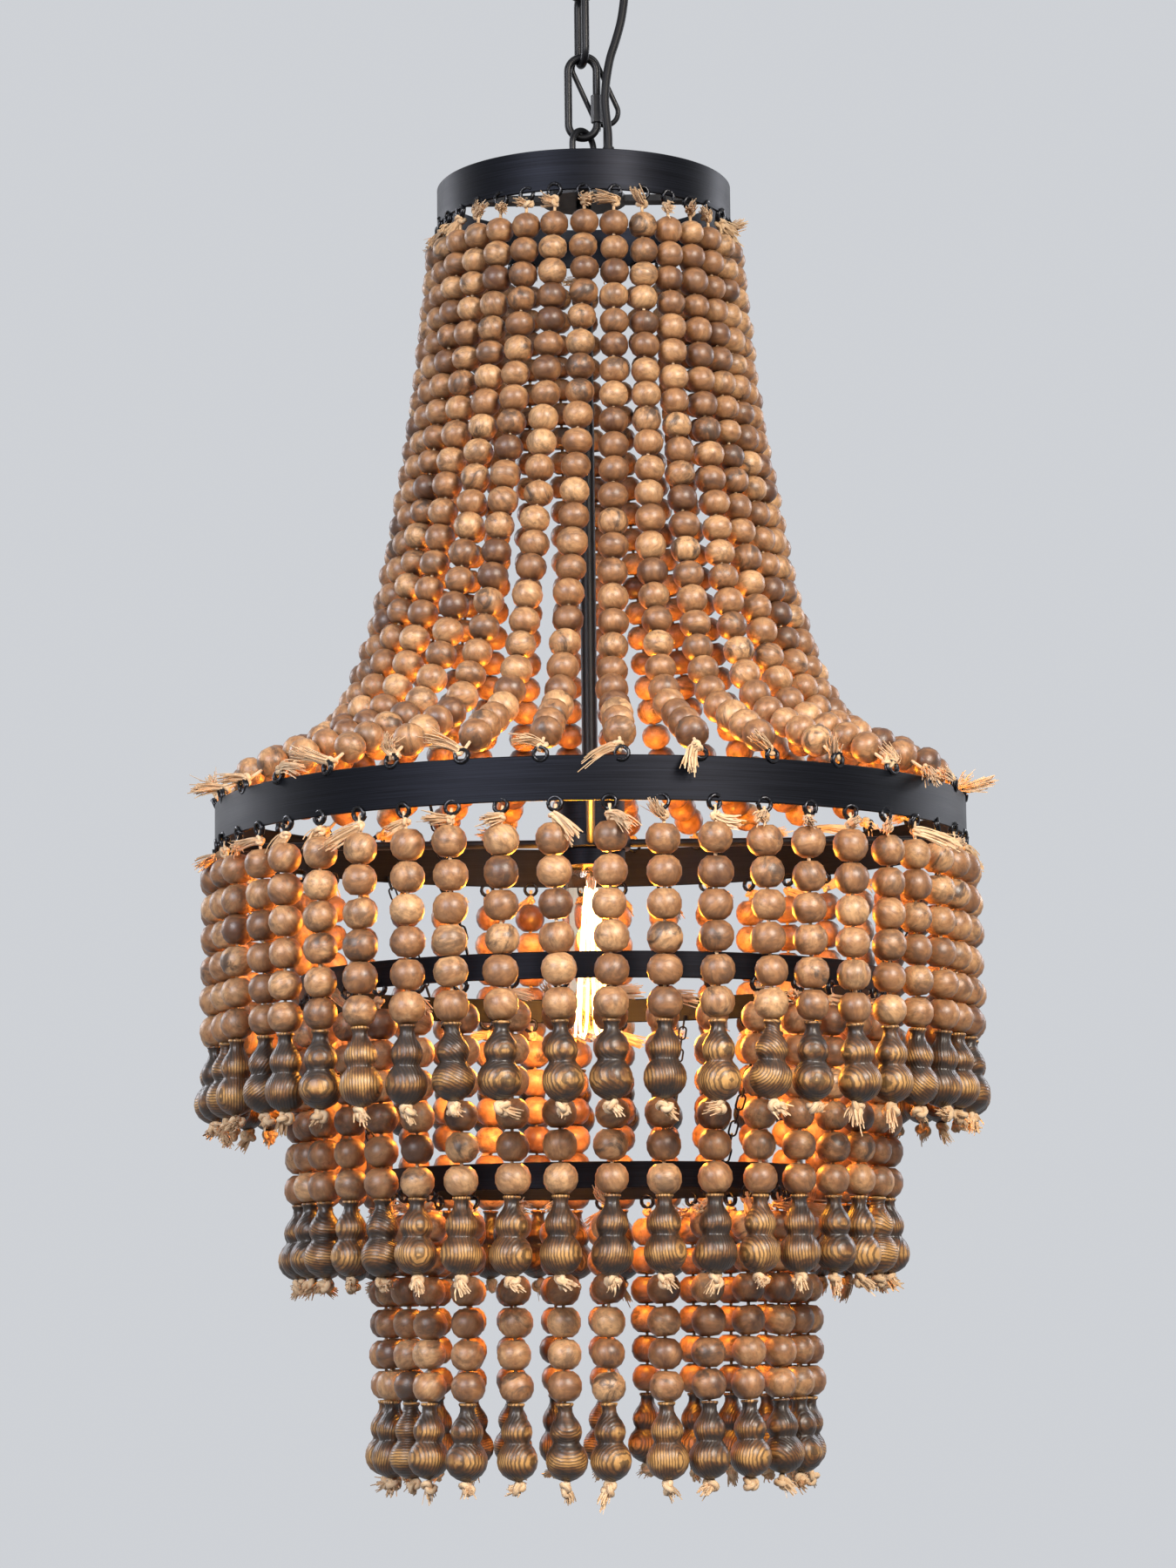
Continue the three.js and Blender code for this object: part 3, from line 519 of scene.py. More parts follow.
@finish("turned_sanded_hardwood")
def turned_bead_wood(tree):
    """Light hardwood, turned and sanded, never varnished: dull and mottled, with fine fibres and grey-brown
    stains, and a painted shade that darkens each bead towards its ends, where it meets the next. Fibres are
    drawn 1 mm wide and some 8 mm long, coarser than real ones so that they show."""
    colours = bpy.context.scene.chandelier_colours
    place = add_node(tree, "Attribute", attribute_name="wood_place").outputs["Vector"]
    tone, marked, ends = (
        add_node(tree, "Attribute", attribute_name=name).outputs["Fac"]
        for name in ("tone", "marked", "end_share")
    )
    # Each pattern's size along the three axes in millimetres, and its detail, roughness and distortion
    fibre, cloud, stain, mottle, fleck = (
        add_node(
            tree,
            "TexNoise",
            {
                "Vector": add_node(tree, "Mapping", {"Vector": place, "Scale": per_metre(size)}),
                "Scale": 1.0,
                "Detail": detail,
                "Roughness": roughness,
                "Distortion": distortion,
            },
        )
        for size, detail, roughness, distortion in (
            ((1, 1, 7.692), 4.0, 0.65, 0.0),
            ((9.091, 9.091, 16.667), 3.0, 0.6, 0.4),
            ((11.765, 11.765, 20), 4.0, 0.68, 0.9),
            ((3.333, 3.333, 5.882), 3.0, 0.6, 0.5),
            ((0.769, 0.769, 2.381), 1.0, 0.55, 0.0),
        )
    )
    rings = {"Vector": place, "Scale": ring_scale(2.7), "Distortion": 5.5, **GROWTH}
    growth = add_node(tree, "TexWave", rings, wave_type="RINGS", rings_direction="Z").outputs["Fac"]
    shade = shaded(tree, 0.0, [(cloud, 0.5, 1.5), (tone, 0.0, 1.0)])
    stops = [(0.05, colours.bead_brown), (0.5, colours.bead_tan), (0.95, colours.bead_pale)]
    body = layered(
        tree,
        add_node(tree, "ValToRGB", {"Fac": shade}, stops),
        [
            (growth, 0.3, 1.0, 0.16, linear("#76553B")),
            (mottle, 0.44, 0.7, 0.5, linear("#6C4A31")),
            (fibre, 0.5, 0.78, 0.42, linear("#6F4F38")),
            (stain, 0.46, 0.66, marked, colours.bead_mark),
            (fleck, 0.73, 0.8, 0.6, linear("#3E2C20")),
            # Painted shade: each bead darkens towards its ends, where it touches the next bead
            (ends, 0.84, 1.0, 0.75, linear("#4A3424")),
        ],
    )
    rough = add_node(tree, "MapRange", {"Value": cloud, "To Min": 0.3, "To Max": 0.5})
    bump = add_node(tree, "Bump", {"Height": fibre, "Distance": 0.00012, "Strength": 1.0})
    looks = {"Base Color": body, "Roughness": rough, "Normal": bump, "Specular IOR Level": 0.65}
    return add_node(tree, "BsdfPrincipled", looks)


@finish("turned_stained_waxed_hardwood")
def stained_finial_wood(tree):
    """Open-grained hardwood, turned, then stained near-black and rubbed back: gold on the bellies, dark in
    the waists, with growth rings that show as ovals and stripes, and a low waxed shine. Its pores are drawn
    as streaks 1.25 mm wide and 13 mm long, coarser than real ones so that they show."""
    colours = bpy.context.scene.chandelier_colours
    place = add_node(tree, "Attribute", attribute_name="wood_place").outputs["Vector"]
    tone, belly = (
        add_node(tree, "Attribute", attribute_name=name).outputs["Fac"] for name in ("tone", "belly_share")
    )
    streak_place = add_node(tree, "Mapping", {"Vector": place, "Scale": per_metre((1.25, 1.25, 13.333))})
    streak = add_node(tree, "TexNoise", {**NOISE, "Vector": streak_place, "Detail": 3.0, "Roughness": 0.65})
    cloud_place = add_node(tree, "Mapping", {"Vector": place, "Scale": per_metre((9.091, 9.091, 14.286))})
    mottled = {"Vector": cloud_place, "Detail": 3.0, "Roughness": 0.6, "Distortion": 0.5}
    cloud = add_node(tree, "TexNoise", {**NOISE, **mottled})
    rings = {"Vector": place, "Scale": ring_scale(1.6), "Distortion": 1.5, **GROWTH}
    growth = add_node(tree, "TexWave", rings, wave_type="RINGS", rings_direction="Z").outputs["Fac"]
    lightness = shaded(tree, 0.0, [(cloud, 0.5, 1.5), (belly, 0.0, 1.0), (tone, 0.5, 0.5)])
    stops = [(0.0, colours.finial_dark), (0.4, linear("#6E4828")), (0.9, colours.finial_gold)]
    wood = layered(
        tree,
        add_node(tree, "ValToRGB", {"Fac": lightness}, stops),
        [(growth, 0.42, 0.86, 0.72, linear("#38291B")), (streak, 0.5, 0.66, 0.42, linear("#2A2019"))],
    )
    relief = shaded(tree, 0.0, [(streak, 0.0, 1.0), (growth, 0.0, 1.0)])
    bump = add_node(tree, "Bump", {"Height": relief, "Distance": 0.0001, "Strength": 1.0})
    rough = add_node(tree, "MapRange", {"Value": cloud, "To Min": 0.26, "To Max": 0.5})
    looks = {"Base Color": wood, "Roughness": rough, "Normal": bump, "Specular IOR Level": 0.5}
    return add_node(tree, "BsdfPrincipled", looks)


@finish("spun_jute_twine")
def jute_twine(tree):
    """Two-ply jute, spun dry and hairy: pale straw, with a soft sheen at its edges. Hairs are drawn 0.7 mm
    wide and some 6 mm long, coarser than real ones so that they show."""
    colours = bpy.context.scene.chandelier_colours
    along = add_node(tree, "Attribute", attribute_name="along").outputs["Vector"]
    place = add_node(tree, "TexCoord").outputs["Object"]
    hair_place = add_node(tree, "Mapping", {"Vector": along, "Scale": per_metre((6.25, 0.6667, 1000))})
    hair = add_node(tree, "TexNoise", {**NOISE, "Vector": hair_place, "Detail": 3.0})
    cloud = add_node(tree, "TexNoise", {**NOISE, "Vector": place, "Scale": per_metre(3.846)})
    shade = shaded(tree, 0.0, [(hair, 0.0, 0.6), (cloud, 0.0, 0.4)])
    stops = [(0.3, linear("#BC9062")), (0.5, colours.jute), (0.7, linear("#EFD7B6"))]
    body = add_node(tree, "ValToRGB", {"Fac": shade}, stops)
    bump = add_node(tree, "Bump", {"Height": hair, "Distance": 0.0002, "Strength": 1.0})
    looks = {"Base Color": body, "Normal": bump, "Roughness": 0.85, "Sheen Weight": 0.25}
    return add_node(tree, "BsdfPrincipled", looks)


@finish("brushed_blackened_steel")
def brushed_black_steel(tree):
    """Mild steel strip, brushed along its length and blackened: long fine scratches under a dull blue-grey
    shine. They are drawn 0.5 mm apart, coarser than real ones so that they show."""
    colours = bpy.context.scene.chandelier_colours
    along = add_node(tree, "Attribute", attribute_name="along").outputs["Vector"]
    brushed = add_node(tree, "Mapping", {"Vector": along, "Scale": per_metre((71.43, 71.43, 0.5))})
    scratch = add_node(tree, "TexNoise", {**NOISE, "Vector": brushed, "Detail": 3.0, "Roughness": 0.6})
    cloud_place = add_node(tree, "Mapping", {"Vector": along, "Scale": per_metre((111.11, 111.11, 25))})
    cloud = add_node(tree, "TexNoise", {**NOISE, "Vector": cloud_place})
    stops = [(0.3, colours.hoop_black), (0.75, linear("#1E2027"))]
    body = add_node(tree, "ValToRGB", {"Fac": scratch}, stops)
    rough = shaded(tree, 0.28, [(cloud, 0.0, 0.22), (scratch, 0.0, 0.16)])
    bump = add_node(tree, "Bump", {"Height": scratch, "Distance": 0.00004, "Strength": 1.0})
    looks = {"Base Color": body, "Roughness": rough, "Normal": bump, "Metallic": 0.85}
    return add_node(tree, "BsdfPrincipled", {**looks, "Specular IOR Level": 0.3})


@finish("satin_black_coated_steel")
def satin_black_steel(tree):
    """Bent round steel bar, powder coated satin black: faint orange peel, a little greyer in places."""
    colours = bpy.context.scene.chandelier_colours
    place = add_node(tree, "TexCoord").outputs["Object"]
    peel = add_node(tree, "TexNoise", {**NOISE, "Vector": place, "Scale": per_metre(0.7143)})
    cloud = add_node(tree, "TexNoise", {**NOISE, "Vector": place, "Scale": per_metre(7.692), "Detail": 3.0})
    stops = [(0.4, colours.link_black), (0.75, linear("#1E1E21"))]
    body = add_node(tree, "ValToRGB", {"Fac": cloud}, stops)
    rough = add_node(tree, "MapRange", {"Value": cloud, "To Min": 0.26, "To Max": 0.5})
    bump = add_node(tree, "Bump", {"Height": peel, "Distance": 0.00003, "Strength": 1.0})
    looks = {"Base Color": body, "Roughness": rough, "Normal": bump, "Metallic": 0.2}
    return add_node(tree, "BsdfPrincipled", {**looks, "Specular IOR Level": 0.35})


@finish("black_plated_spring_wire")
def black_plated_wire(tree):
    """Spring wire, plated black and tumbled: darker and glossier than the links, with fine scuffs, drawn
    1 mm wide so that they show."""
    place = add_node(tree, "TexCoord").outputs["Object"]
    scuff = add_node(tree, "TexNoise", {**NOISE, "Vector": place, "Scale": per_metre(1.1111)})
    body = add_node(tree, "ValToRGB", {"Fac": scuff}, [(0.4, linear("#121214")), (0.7, linear("#33343A"))])
    rough = add_node(tree, "MapRange", {"Value": scuff, "To Min": 0.1, "To Max": 0.3})
    looks = {"Base Color": body, "Roughness": rough, "Metallic": 0.7, "Specular IOR Level": 0.8}
    return add_node(tree, "BsdfPrincipled", looks)


@finish("zinc_plated_pressed_steel")
def zinc_steel(tree):
    """Pressed steel, zinc plated: pale grey, with cloudy spangle of about 3 mm and a satin shine."""
    place = add_node(tree, "TexCoord").outputs["Object"]
    spangle = add_node(tree, "TexVoronoi", {"Vector": place, "Scale": per_metre(3.125)}).outputs["Color"]
    grey = add_node(tree, "SeparateColor", {"Color": spangle})
    body = add_node(tree, "ValToRGB", {"Fac": grey}, [(0.1, linear("#8E9092")), (0.9, linear("#B4B6B7"))])
    rough = add_node(tree, "MapRange", {"Value": grey, "To Min": 0.3, "To Max": 0.46})
    return add_node(tree, "BsdfPrincipled", {"Base Color": body, "Roughness": rough, "Metallic": 1.0})


@finish("extruded_black_pvc")
def flex_sheath(tree):
    """Black PVC, extruded over twisted cores: an even satin skin with a faint lengthwise grain, drawn
    0.6 mm wide so that it shows."""
    place = add_node(tree, "TexCoord").outputs["Object"]
    grain_place = add_node(tree, "Mapping", {"Vector": place, "Scale": per_metre((0.5556, 0.5556, 16.667))})
    grain = add_node(tree, "TexNoise", {**NOISE, "Vector": grain_place})
    body = add_node(tree, "ValToRGB", {"Fac": grain}, [(0.3, linear("#0E0E11")), (0.7, linear("#17171B"))])
    bump = add_node(tree, "Bump", {"Height": grain, "Distance": 0.00002, "Strength": 1.0})
    looks = {"Base Color": body, "Normal": bump, "Roughness": 0.5, "Specular IOR Level": 0.25}
    return add_node(tree, "BsdfPrincipled", looks)


@finish("white_glazed_porcelain")
def glazed_porcelain(tree):
    """Pressed porcelain, white glazed: glossy, with fine dark specks."""
    place = add_node(tree, "TexCoord").outputs["Object"]
    speck = add_node(tree, "TexNoise", {**NOISE, "Vector": place, "Scale": per_metre(1.1111)})
    body = layered(tree, linear("#EDE9E0"), [(speck, 0.7, 0.76, 1.0, linear("#A89F90"))])
    return add_node(tree, "BsdfPrincipled", {"Base Color": body, "Roughness": 0.18, "Coat Weight": 0.5})


@finish("rolled_brass_screw_cap")
def rolled_brass(tree):
    """Thin brass, rolled to a thread and handled: warm yellow with duller patches."""
    place = add_node(tree, "TexCoord").outputs["Object"]
    patch = add_node(tree, "TexNoise", {**NOISE, "Vector": place, "Scale": per_metre(5.556), "Detail": 3.0})
    body = add_node(tree, "ValToRGB", {"Fac": patch}, [(0.3, linear("#A98F55")), (0.7, linear("#D8C48B"))])
    rough = add_node(tree, "MapRange", {"Value": patch, "To Min": 0.25, "To Max": 0.42})
    return add_node(tree, "BsdfPrincipled", {"Base Color": body, "Roughness": rough, "Metallic": 1.0})


@finish("clear_blown_glass")
def blown_glass(tree):
    """Clear blown glass: shadows pass through it, and faint ripples bend what lies behind."""
    place = add_node(tree, "TexCoord").outputs["Object"]
    wavy = add_node(tree, "TexNoise", {**NOISE, "Vector": place, "Scale": per_metre(16.667), "Detail": 1.0})
    bump = add_node(tree, "Bump", {"Height": wavy, "Distance": 0.0002, "Strength": 1.0})
    looks = {"Base Color": linear("#FFF6E8"), "Normal": bump, "Roughness": 0.0, "Transmission Weight": 1.0}
    glass = add_node(tree, "BsdfPrincipled", {**looks, "IOR": 1.5})
    shadow = add_node(tree, "LightPath").outputs["Is Shadow Ray"]
    return add_node(tree, "MixShader", {0: shadow, 1: glass, 2: add_node(tree, "BsdfTransparent")})


@finish("glowing_carbon_filament")
def glowing_filament(tree):
    """Carbon filament at working heat: it glows from orange to near white, in patches along each run."""
    along = add_node(tree, "Attribute", attribute_name="along").outputs["Vector"]
    heat_place = add_node(tree, "Mapping", {"Vector": along, "Scale": per_metre((7.692, 1000, 1000))})
    heat = add_node(tree, "TexNoise", {**NOISE, "Vector": heat_place, "Detail": 1.0})
    glow = add_node(tree, "ValToRGB", {"Fac": heat}, [(0.3, linear("#FF9A3C")), (0.7, linear("#FFD9A0"))])
    looks = {"Emission Color": glow, "Emission Strength": 32.0, "Roughness": 0.6}
    return add_node(tree, "BsdfPrincipled", {**looks, "Base Color": linear("#2A1408")})


@finish("matt_painted_floor")
def painted_floor(tree):
    """Matt floor paint, rolled on: pale and faintly cloudy. It glows a little to the eye, so that it stays
    pale far from the lamps, and keeps the lamp's shadow."""
    backdrop = bpy.context.scene.chandelier_stage.backdrop
    place = add_node(tree, "TexCoord").outputs["Object"]
    cloud = add_node(tree, "TexNoise", {**NOISE, "Vector": place, "Scale": per_metre(833.3), "Detail": 3.0})
    lighter = [1.03 * part for part in backdrop]
    shade = add_node(tree, "ValToRGB", {"Fac": cloud}, [(0.3, backdrop), (0.7, lighter)])
    looks = {"Base Color": shade, "Roughness": 0.9, "Specular IOR Level": 0.1}
    matt = add_node(tree, "BsdfPrincipled", looks)
    pale = add_node(tree, "Emission", {"Color": shade, "Strength": BACKDROP_STRENGTH})
    glow = shaded(tree, 0.0, [(looked_at(tree), 0.0, FLOOR_GLOW_SHARE)])
    return add_node(tree, "MixShader", {0: glow, 1: matt, 2: pale})


def looked_at(tree):
    """1 where the eye looks straight, or by way of a mirror or glass, and 0 for all other light."""
    ray = add_node(tree, "LightPath").outputs
    seen = ray["Is Camera Ray"]
    for other in ("Is Glossy Ray", "Is Transmission Ray"):
        seen = add_node(tree, "Math", {0: seen, 1: ray[other]}, operation="MAXIMUM")
    return seen


# Sizes and colours that a user would change


def length_of(name, description, value):
    return bpy.props.FloatProperty(
        name=name, description=description, default=value, min=0.0, unit="LENGTH", precision=5
    )


def amount_of(name, description, value):
    return bpy.props.FloatProperty(name=name, description=description, default=value, min=0.0)


def number_of(name, description, value, least=1):
    return bpy.props.IntProperty(name=name, description=description, default=value, min=least)


def angle_of(name, description, degrees):
    return bpy.props.FloatProperty(
        name=name, description=description, default=math.radians(degrees), subtype="ANGLE"
    )


def place_of(name, description, value):
    return bpy.props.FloatProperty(name=name, description=description, default=value, unit="LENGTH")


def colour_of(name, description, hex_colour):
    default = linear(hex_colour)
    return bpy.props.FloatVectorProperty(
        name=name, description=description, default=default, size=4, min=0, max=1, subtype="COLOR"
    )


class ChandelierSizes(bpy.types.PropertyGroup):
    """Sizes of the beads, the finials and the string."""

    bead_width: length_of("Bead width", "Widest part of a bead under a hoop", 0.0197)
    bead_pitch: length_of("Bead pitch", "From one bead's middle to the next", 0.018)
    bead_lead: length_of("Bead lead", "From a hoop's lower edge to the first bead's middle", 0.0204)
    bead_count: number_of("Beads", "Beads on each strand under a hoop", 6)
    upper_bead_width: length_of("Upper bead width", "Width of the topmost beads", 0.0173)
    upper_bead_growth: length_of("Upper bead growth", "How much wider the last upper beads are", 0.0018)
    upper_bead_count: number_of("Upper beads", "Beads on each upper strand", 24, least=2)
    upper_strands: number_of("Upper strands", "Strands over the middle hoop", 32)
    finial_length: length_of("Finial length", "From the finial's lip to its foot", 0.044)
    string_radius: length_of("String radius", "Radius of the jute string", 0.001)
    knot_width: length_of("Knot width", "Width of a tied knot", 0.009)
    split_ring_width: length_of("Split ring width", "Outside width of a split ring", 0.0099)
    split_ring_wire: length_of("Split ring wire", "Thickness of a split ring's wire", 0.0022)
    seed: number_of("Seed", "Starts the small differences between beads", 7, least=0)


class ChandelierColours(bpy.types.PropertyGroup):
    """Colours of the main finishes."""

    bead_pale: colour_of("Pale bead", "Lightest bead wood", "#D5A777")
    bead_tan: colour_of("Tan bead", "Usual bead wood", "#A7774E")
    bead_brown: colour_of("Brown bead", "Darkest bead wood", "#5B3822")
    bead_mark: colour_of("Bead mark", "Grey-brown stains on some beads", "#4A382B")
    finial_gold: colour_of("Finial gold", "Rubbed bellies of the finials", "#CB9A5C")
    finial_dark: colour_of("Finial dark", "Stained waists of the finials", "#2A201A")
    jute: colour_of("Jute", "String, knots and frayed ends", "#DFBD94")
    hoop_black: colour_of("Hoop black", "Brushed and blackened hoops", "#0D0E12")
    link_black: colour_of("Link black", "Coated links and chains", "#0F0F12")


class ChandelierStage(bpy.types.PropertyGroup):
    """The studio round the chandelier."""

    lens: amount_of("Lens", "Focal length in millimetres", 90.0)
    camera_distance: length_of("Camera distance", "From the camera to the chandelier's axis", 2.34)
    camera_height: place_of("Camera height", "Camera's height over the ceiling, so below zero", -0.895)
    camera_pitch: angle_of("Camera pitch", "Upward tilt", 7.6)
    camera_roll: angle_of("Camera roll", "Clockwise roll", 0.64)
    camera_side: place_of("Camera side", "Sideways place", -0.0013)
    backdrop: colour_of("Backdrop", "Floor and backdrop", "#DEE1E6")
    key_power: amount_of("Key power", "Watts of the front softbox", 7.2)
    fill_power: amount_of("Fill power", "Watts of the side softbox", 5.9)
    back_power: amount_of("Back power", "Watts of each softbox behind", 1.8)
    softbox_spread: angle_of("Softbox spread", "Cone of each softbox", 50.0)
    sky_strength: amount_of("Sky strength", "Light from all round", 0.05)
    bulb_power: amount_of("Bulb power", "Watts of the lit bulb", 8.2)
    bulb_colour: colour_of("Bulb colour", "Warm light of the bulb", "#FFA126")


# Beads, finials, knots and string


def dealt(strands, curtains):
    """Strand numbers of each curtain, dealt out in order."""
    firsts = [math.ceil(curtain * strands / curtains) for curtain in range(curtains + 1)]
    return [np.arange(first, after) for first, after in zip(firsts, firsts[1:])]


def wood_places(shape, scales, grain, offsets):
    """Where each copy's points lie in its own piece of wood: scaled, turned by its grain, and offset."""
    local = shape.points[None] * scales[:, None]
    return (np.einsum("kij,kmj->kmi", grain, local) + offsets[:, None]).reshape(-1, 3)


def bead_shape(sides=14, bands=7):
    """A turned bead of width and height 1: at each share of a half turn the radius is half its sine to the
    power 0.8, and the height half its cosine, drawn in at the string hole."""
    fullness, hole_share = 0.8, 0.93
    half_turn = np.linspace(0, math.pi, bands + 1)
    heights = np.cos(half_turn) / 2
    heights[[0, -1]] *= hole_share
    shape = capped_lathe(np.sin(half_turn) ** fullness / 2, heights, sides)
    # How far towards an end each point lies, which the bead wood uses for the painted shade where beads
    # meet
    shape.carried["end_share"] = np.abs(shape.points[:, 2]) * 2
    return shape


def strung(centres, directions, widths, heights, random):
    """Beads at centres, each a little off in size, tilt and place, with its own piece of wood and tone."""
    size_spread, shape_spread, lean_spread, place_spread = 0.016, 0.01, 0.05, 0.0003
    usual_tone, tone_spread, darkest = 0.54, 0.22, 0.1
    marks, mark_shares = [0.25, 0.6, 0.95], [0.4, 0.38, 0.22]
    board = np.array([0.02, 0.02, 2.0])
    count = len(centres)
    shape = bead_shape()
    size = 1 + random.normal(0, size_spread, (count, 1))
    scales = np.stack([widths, widths, heights], -1) * size
    scales *= 1 + random.normal(0, shape_spread, (count, 3))
    lean = random.normal(0, lean_spread, (count, 3))
    off = random.normal(0, place_spread, (count, 3))
    turns = turned_to(unit(directions) + lean, any_spins(random, count))
    grain = any_turns(random, count)
    offsets = random.uniform(-1, 1, (count, 3)) * board
    tone = np.clip(random.normal(usual_tone, tone_spread, count), darkest, 1)
    marked = random.choice(marks, count, p=mark_shares)
    made = copies(shape, turns, centres + off, scales, tone=tone, marked=marked)
    made.carried["wood_place"] = wood_places(shape, scales, grain, offsets)
    return made


def finial_shape(sides=18):
    """A turned finial of length 1, hanging down from its lip at the origin, with its share of belly: a bell
    curve of the depth, e to minus the square of the way from a ball's middle over its reach."""
    shape = capped_lathe(FINIAL_SHARES[:, 0], -FINIAL_SHARES[:, 1], sides)
    middle, reach, strength = np.array(GOLD_SHARES).T[..., None]
    bells = np.exp(-(((-shape.points[:, 2] - middle) / reach) ** 2)) * strength
    shape.carried["belly_share"] = bells.max(axis=0)
    return shape


def finials_at(tops, length_each, random):
    """Finials hung from their tops, each with its own lean, size and piece of wood, whose pith, the middle
    of its growth rings, lies some way beside the finial."""
    size_spread, lean_spread, grain_spread = [0.02, 0.02, 0.012], [0.03, 0.03, 0], 0.09
    along_share, usual_tone, tone_spread = 0.75, 0.5, 0.25
    pith_near, pith_far, board = 0.01, 0.03, 2.0
    count = len(tops)
    shape = finial_shape()
    scales = length_each * (1 + random.normal(0, size_spread, (count, 3)))
    down = ALONG_Z + random.normal(0, lean_spread, (count, 3))
    turns = turned_to(down, any_spins(random, count))
    # Most are turned along the grain, and every fourth or so across it, which shows ovals.
    upright = random.random((count, 1)) < along_share
    grain_way = np.where(upright, ALONG_Z, polar(1.0, random.uniform(0, 360, count), 0.0))
    grain = turned_to(grain_way + random.normal(0, grain_spread, (count, 3)), any_spins(random, count))
    beside, around = random.uniform(pith_near, pith_far, count), random.uniform(0, 360, count)
    pith = polar(beside, around, random.uniform(-board, board, count))
    tone = np.clip(random.normal(usual_tone, tone_spread, count), 0, 1)
    made = copies(shape, turns, tops, scales, tone=tone)
    made.carried["wood_place"] = wood_places(shape, scales, grain.transpose(0, 2, 1), pith)
    return made


def knot_shape(width, sides=6, steps=30):
    """A tied knot: the trefoil x, y, z = sin t + 2 sin 2t, cos t - 2 cos 2t, -1.3 sin 3t in closed yarn."""
    trefoil_width, yarn_share = 8.6, 0.17
    t = full_turn(steps)
    x, y = np.sin(t) + 2 * np.sin(2 * t), np.cos(t) - 2 * np.cos(2 * t)
    line = np.stack([x, y, -1.3 * np.sin(3 * t)], -1)
    return tube(line * width / trefoil_width, width * yarn_share, sides, ALONG_Z, closed=True)


def frayed_tails(starts, directions, lengths, random, fibres=40, steps=5):
    """Cut ends of string that have opened into brushes. A fibre's points follow its brush's own bent line,
    which goes out from the knot, curls and sags with the square of the way along, and lie beside it by an
    offset that grows along it. A few hairs stray. Each is a three-sided tube that thins to its tip."""
    stray_share, stray_factor, stray_thinness = 0.06, 2.6, 0.7
    curl, wander, sag, opening, shortest, longest = 0.3, 0.07, 0.2, 0.7, 0.8, 1.06
    brush_radius, root_radius, thinning = 0.001, 0.00062, 0.0003
    grain_length = 0.012
    count = len(starts)
    way = np.linspace(0, 1, steps)[:, None]
    stray = np.where(random.random((count, fibres, 1, 1)) < stray_share, stray_factor, 1.0)
    bend = random.normal(0, curl, (count, 1, 1, 3))
    bend = bend + random.normal(0, wander, (count, fibres, 1, 3)) * stray
    size = (lengths[:, None] * random.uniform(shortest, longest, (count, fibres)))[:, :, None, None]
    beside = random.normal(0, brush_radius, (count, fibres, 1, 3)) * (1 + opening * way)
    course = unit(directions)[:, None, None] * way + (bend - sag * ALONG_Z) * way**2
    line = (starts[:, None, None] + beside + size * course).reshape(-1, steps, 3)
    thick = (root_radius - thinning * way)[:, :, None] / stray.reshape(-1, 1, 1, 1) ** stray_thinness
    rings = rings_along(line, unit(np.gradient(line, axis=1)), -ASLANT, thick, 3)
    fibre = np.arange(len(line))[:, None, None]
    foot = (steps - 1) * 3
    ends = np.array([[0, 2, 1], [foot, foot + 1, foot + 2]])
    along = np.zeros(rings.shape)
    along[..., 0] = grain_length * way + fibre
    quads, triangles = grid_quads(steps, 3) + fibre * steps * 3, ends + fibre * steps * 3
    return Shape(rings, quads, triangles, along=along.reshape(-1, 3)).facing_out()


def strings(lines, radius, sides=6):
    """Straight or bent strings, one tube for each line."""
    return joined(tube(line, radius, sides, ASLANT) for line in lines)


def upper_line():
    """Radius and height along a hanging upper strand, from the top hoop's edge to the middle hoop's."""
    top_width, top_edge, _ = hoop_edges("top_hoop")
    middle_width, _, middle_edge = hoop_edges("middle_hoop")
    start = np.array([middle_radius(top_width), top_edge - UPPER_LEAD])
    end = np.array([middle_radius(middle_width), middle_edge + EDGE_GAP + UPPER_FOOT_RISE])
    return smooth_line(start + (end - start) * UPPER_LINE_SHARES, 600)


def upper_strand_beads(sizes, swing, size_jitter):
    """Radii, angles, heights, widths and lengths of one upper strand's beads, packed along its line."""
    line = upper_line()
    way = travelled(line)
    share = np.linspace(0, 1, sizes.upper_bead_count)
    widths = sizes.upper_bead_width + sizes.upper_bead_growth * share
    lengths = widths * size_jitter
    lengths *= (way[-1] - UPPER_SPARE) / lengths.sum()
    middles = np.cumsum(lengths) - lengths / 2
    radius, height = (np.interp(middles, way, axis) for axis in line.T)
    down = (line[0, 1] - height) / (line[0, 1] - line[-1, 1])
    angle = UPPER_TOP_ANGLE + (UPPER_LOWER_ANGLE - UPPER_TOP_ANGLE) * down
    return radius, angle + swing * np.sin(math.pi * share), height, widths, lengths


# Operators


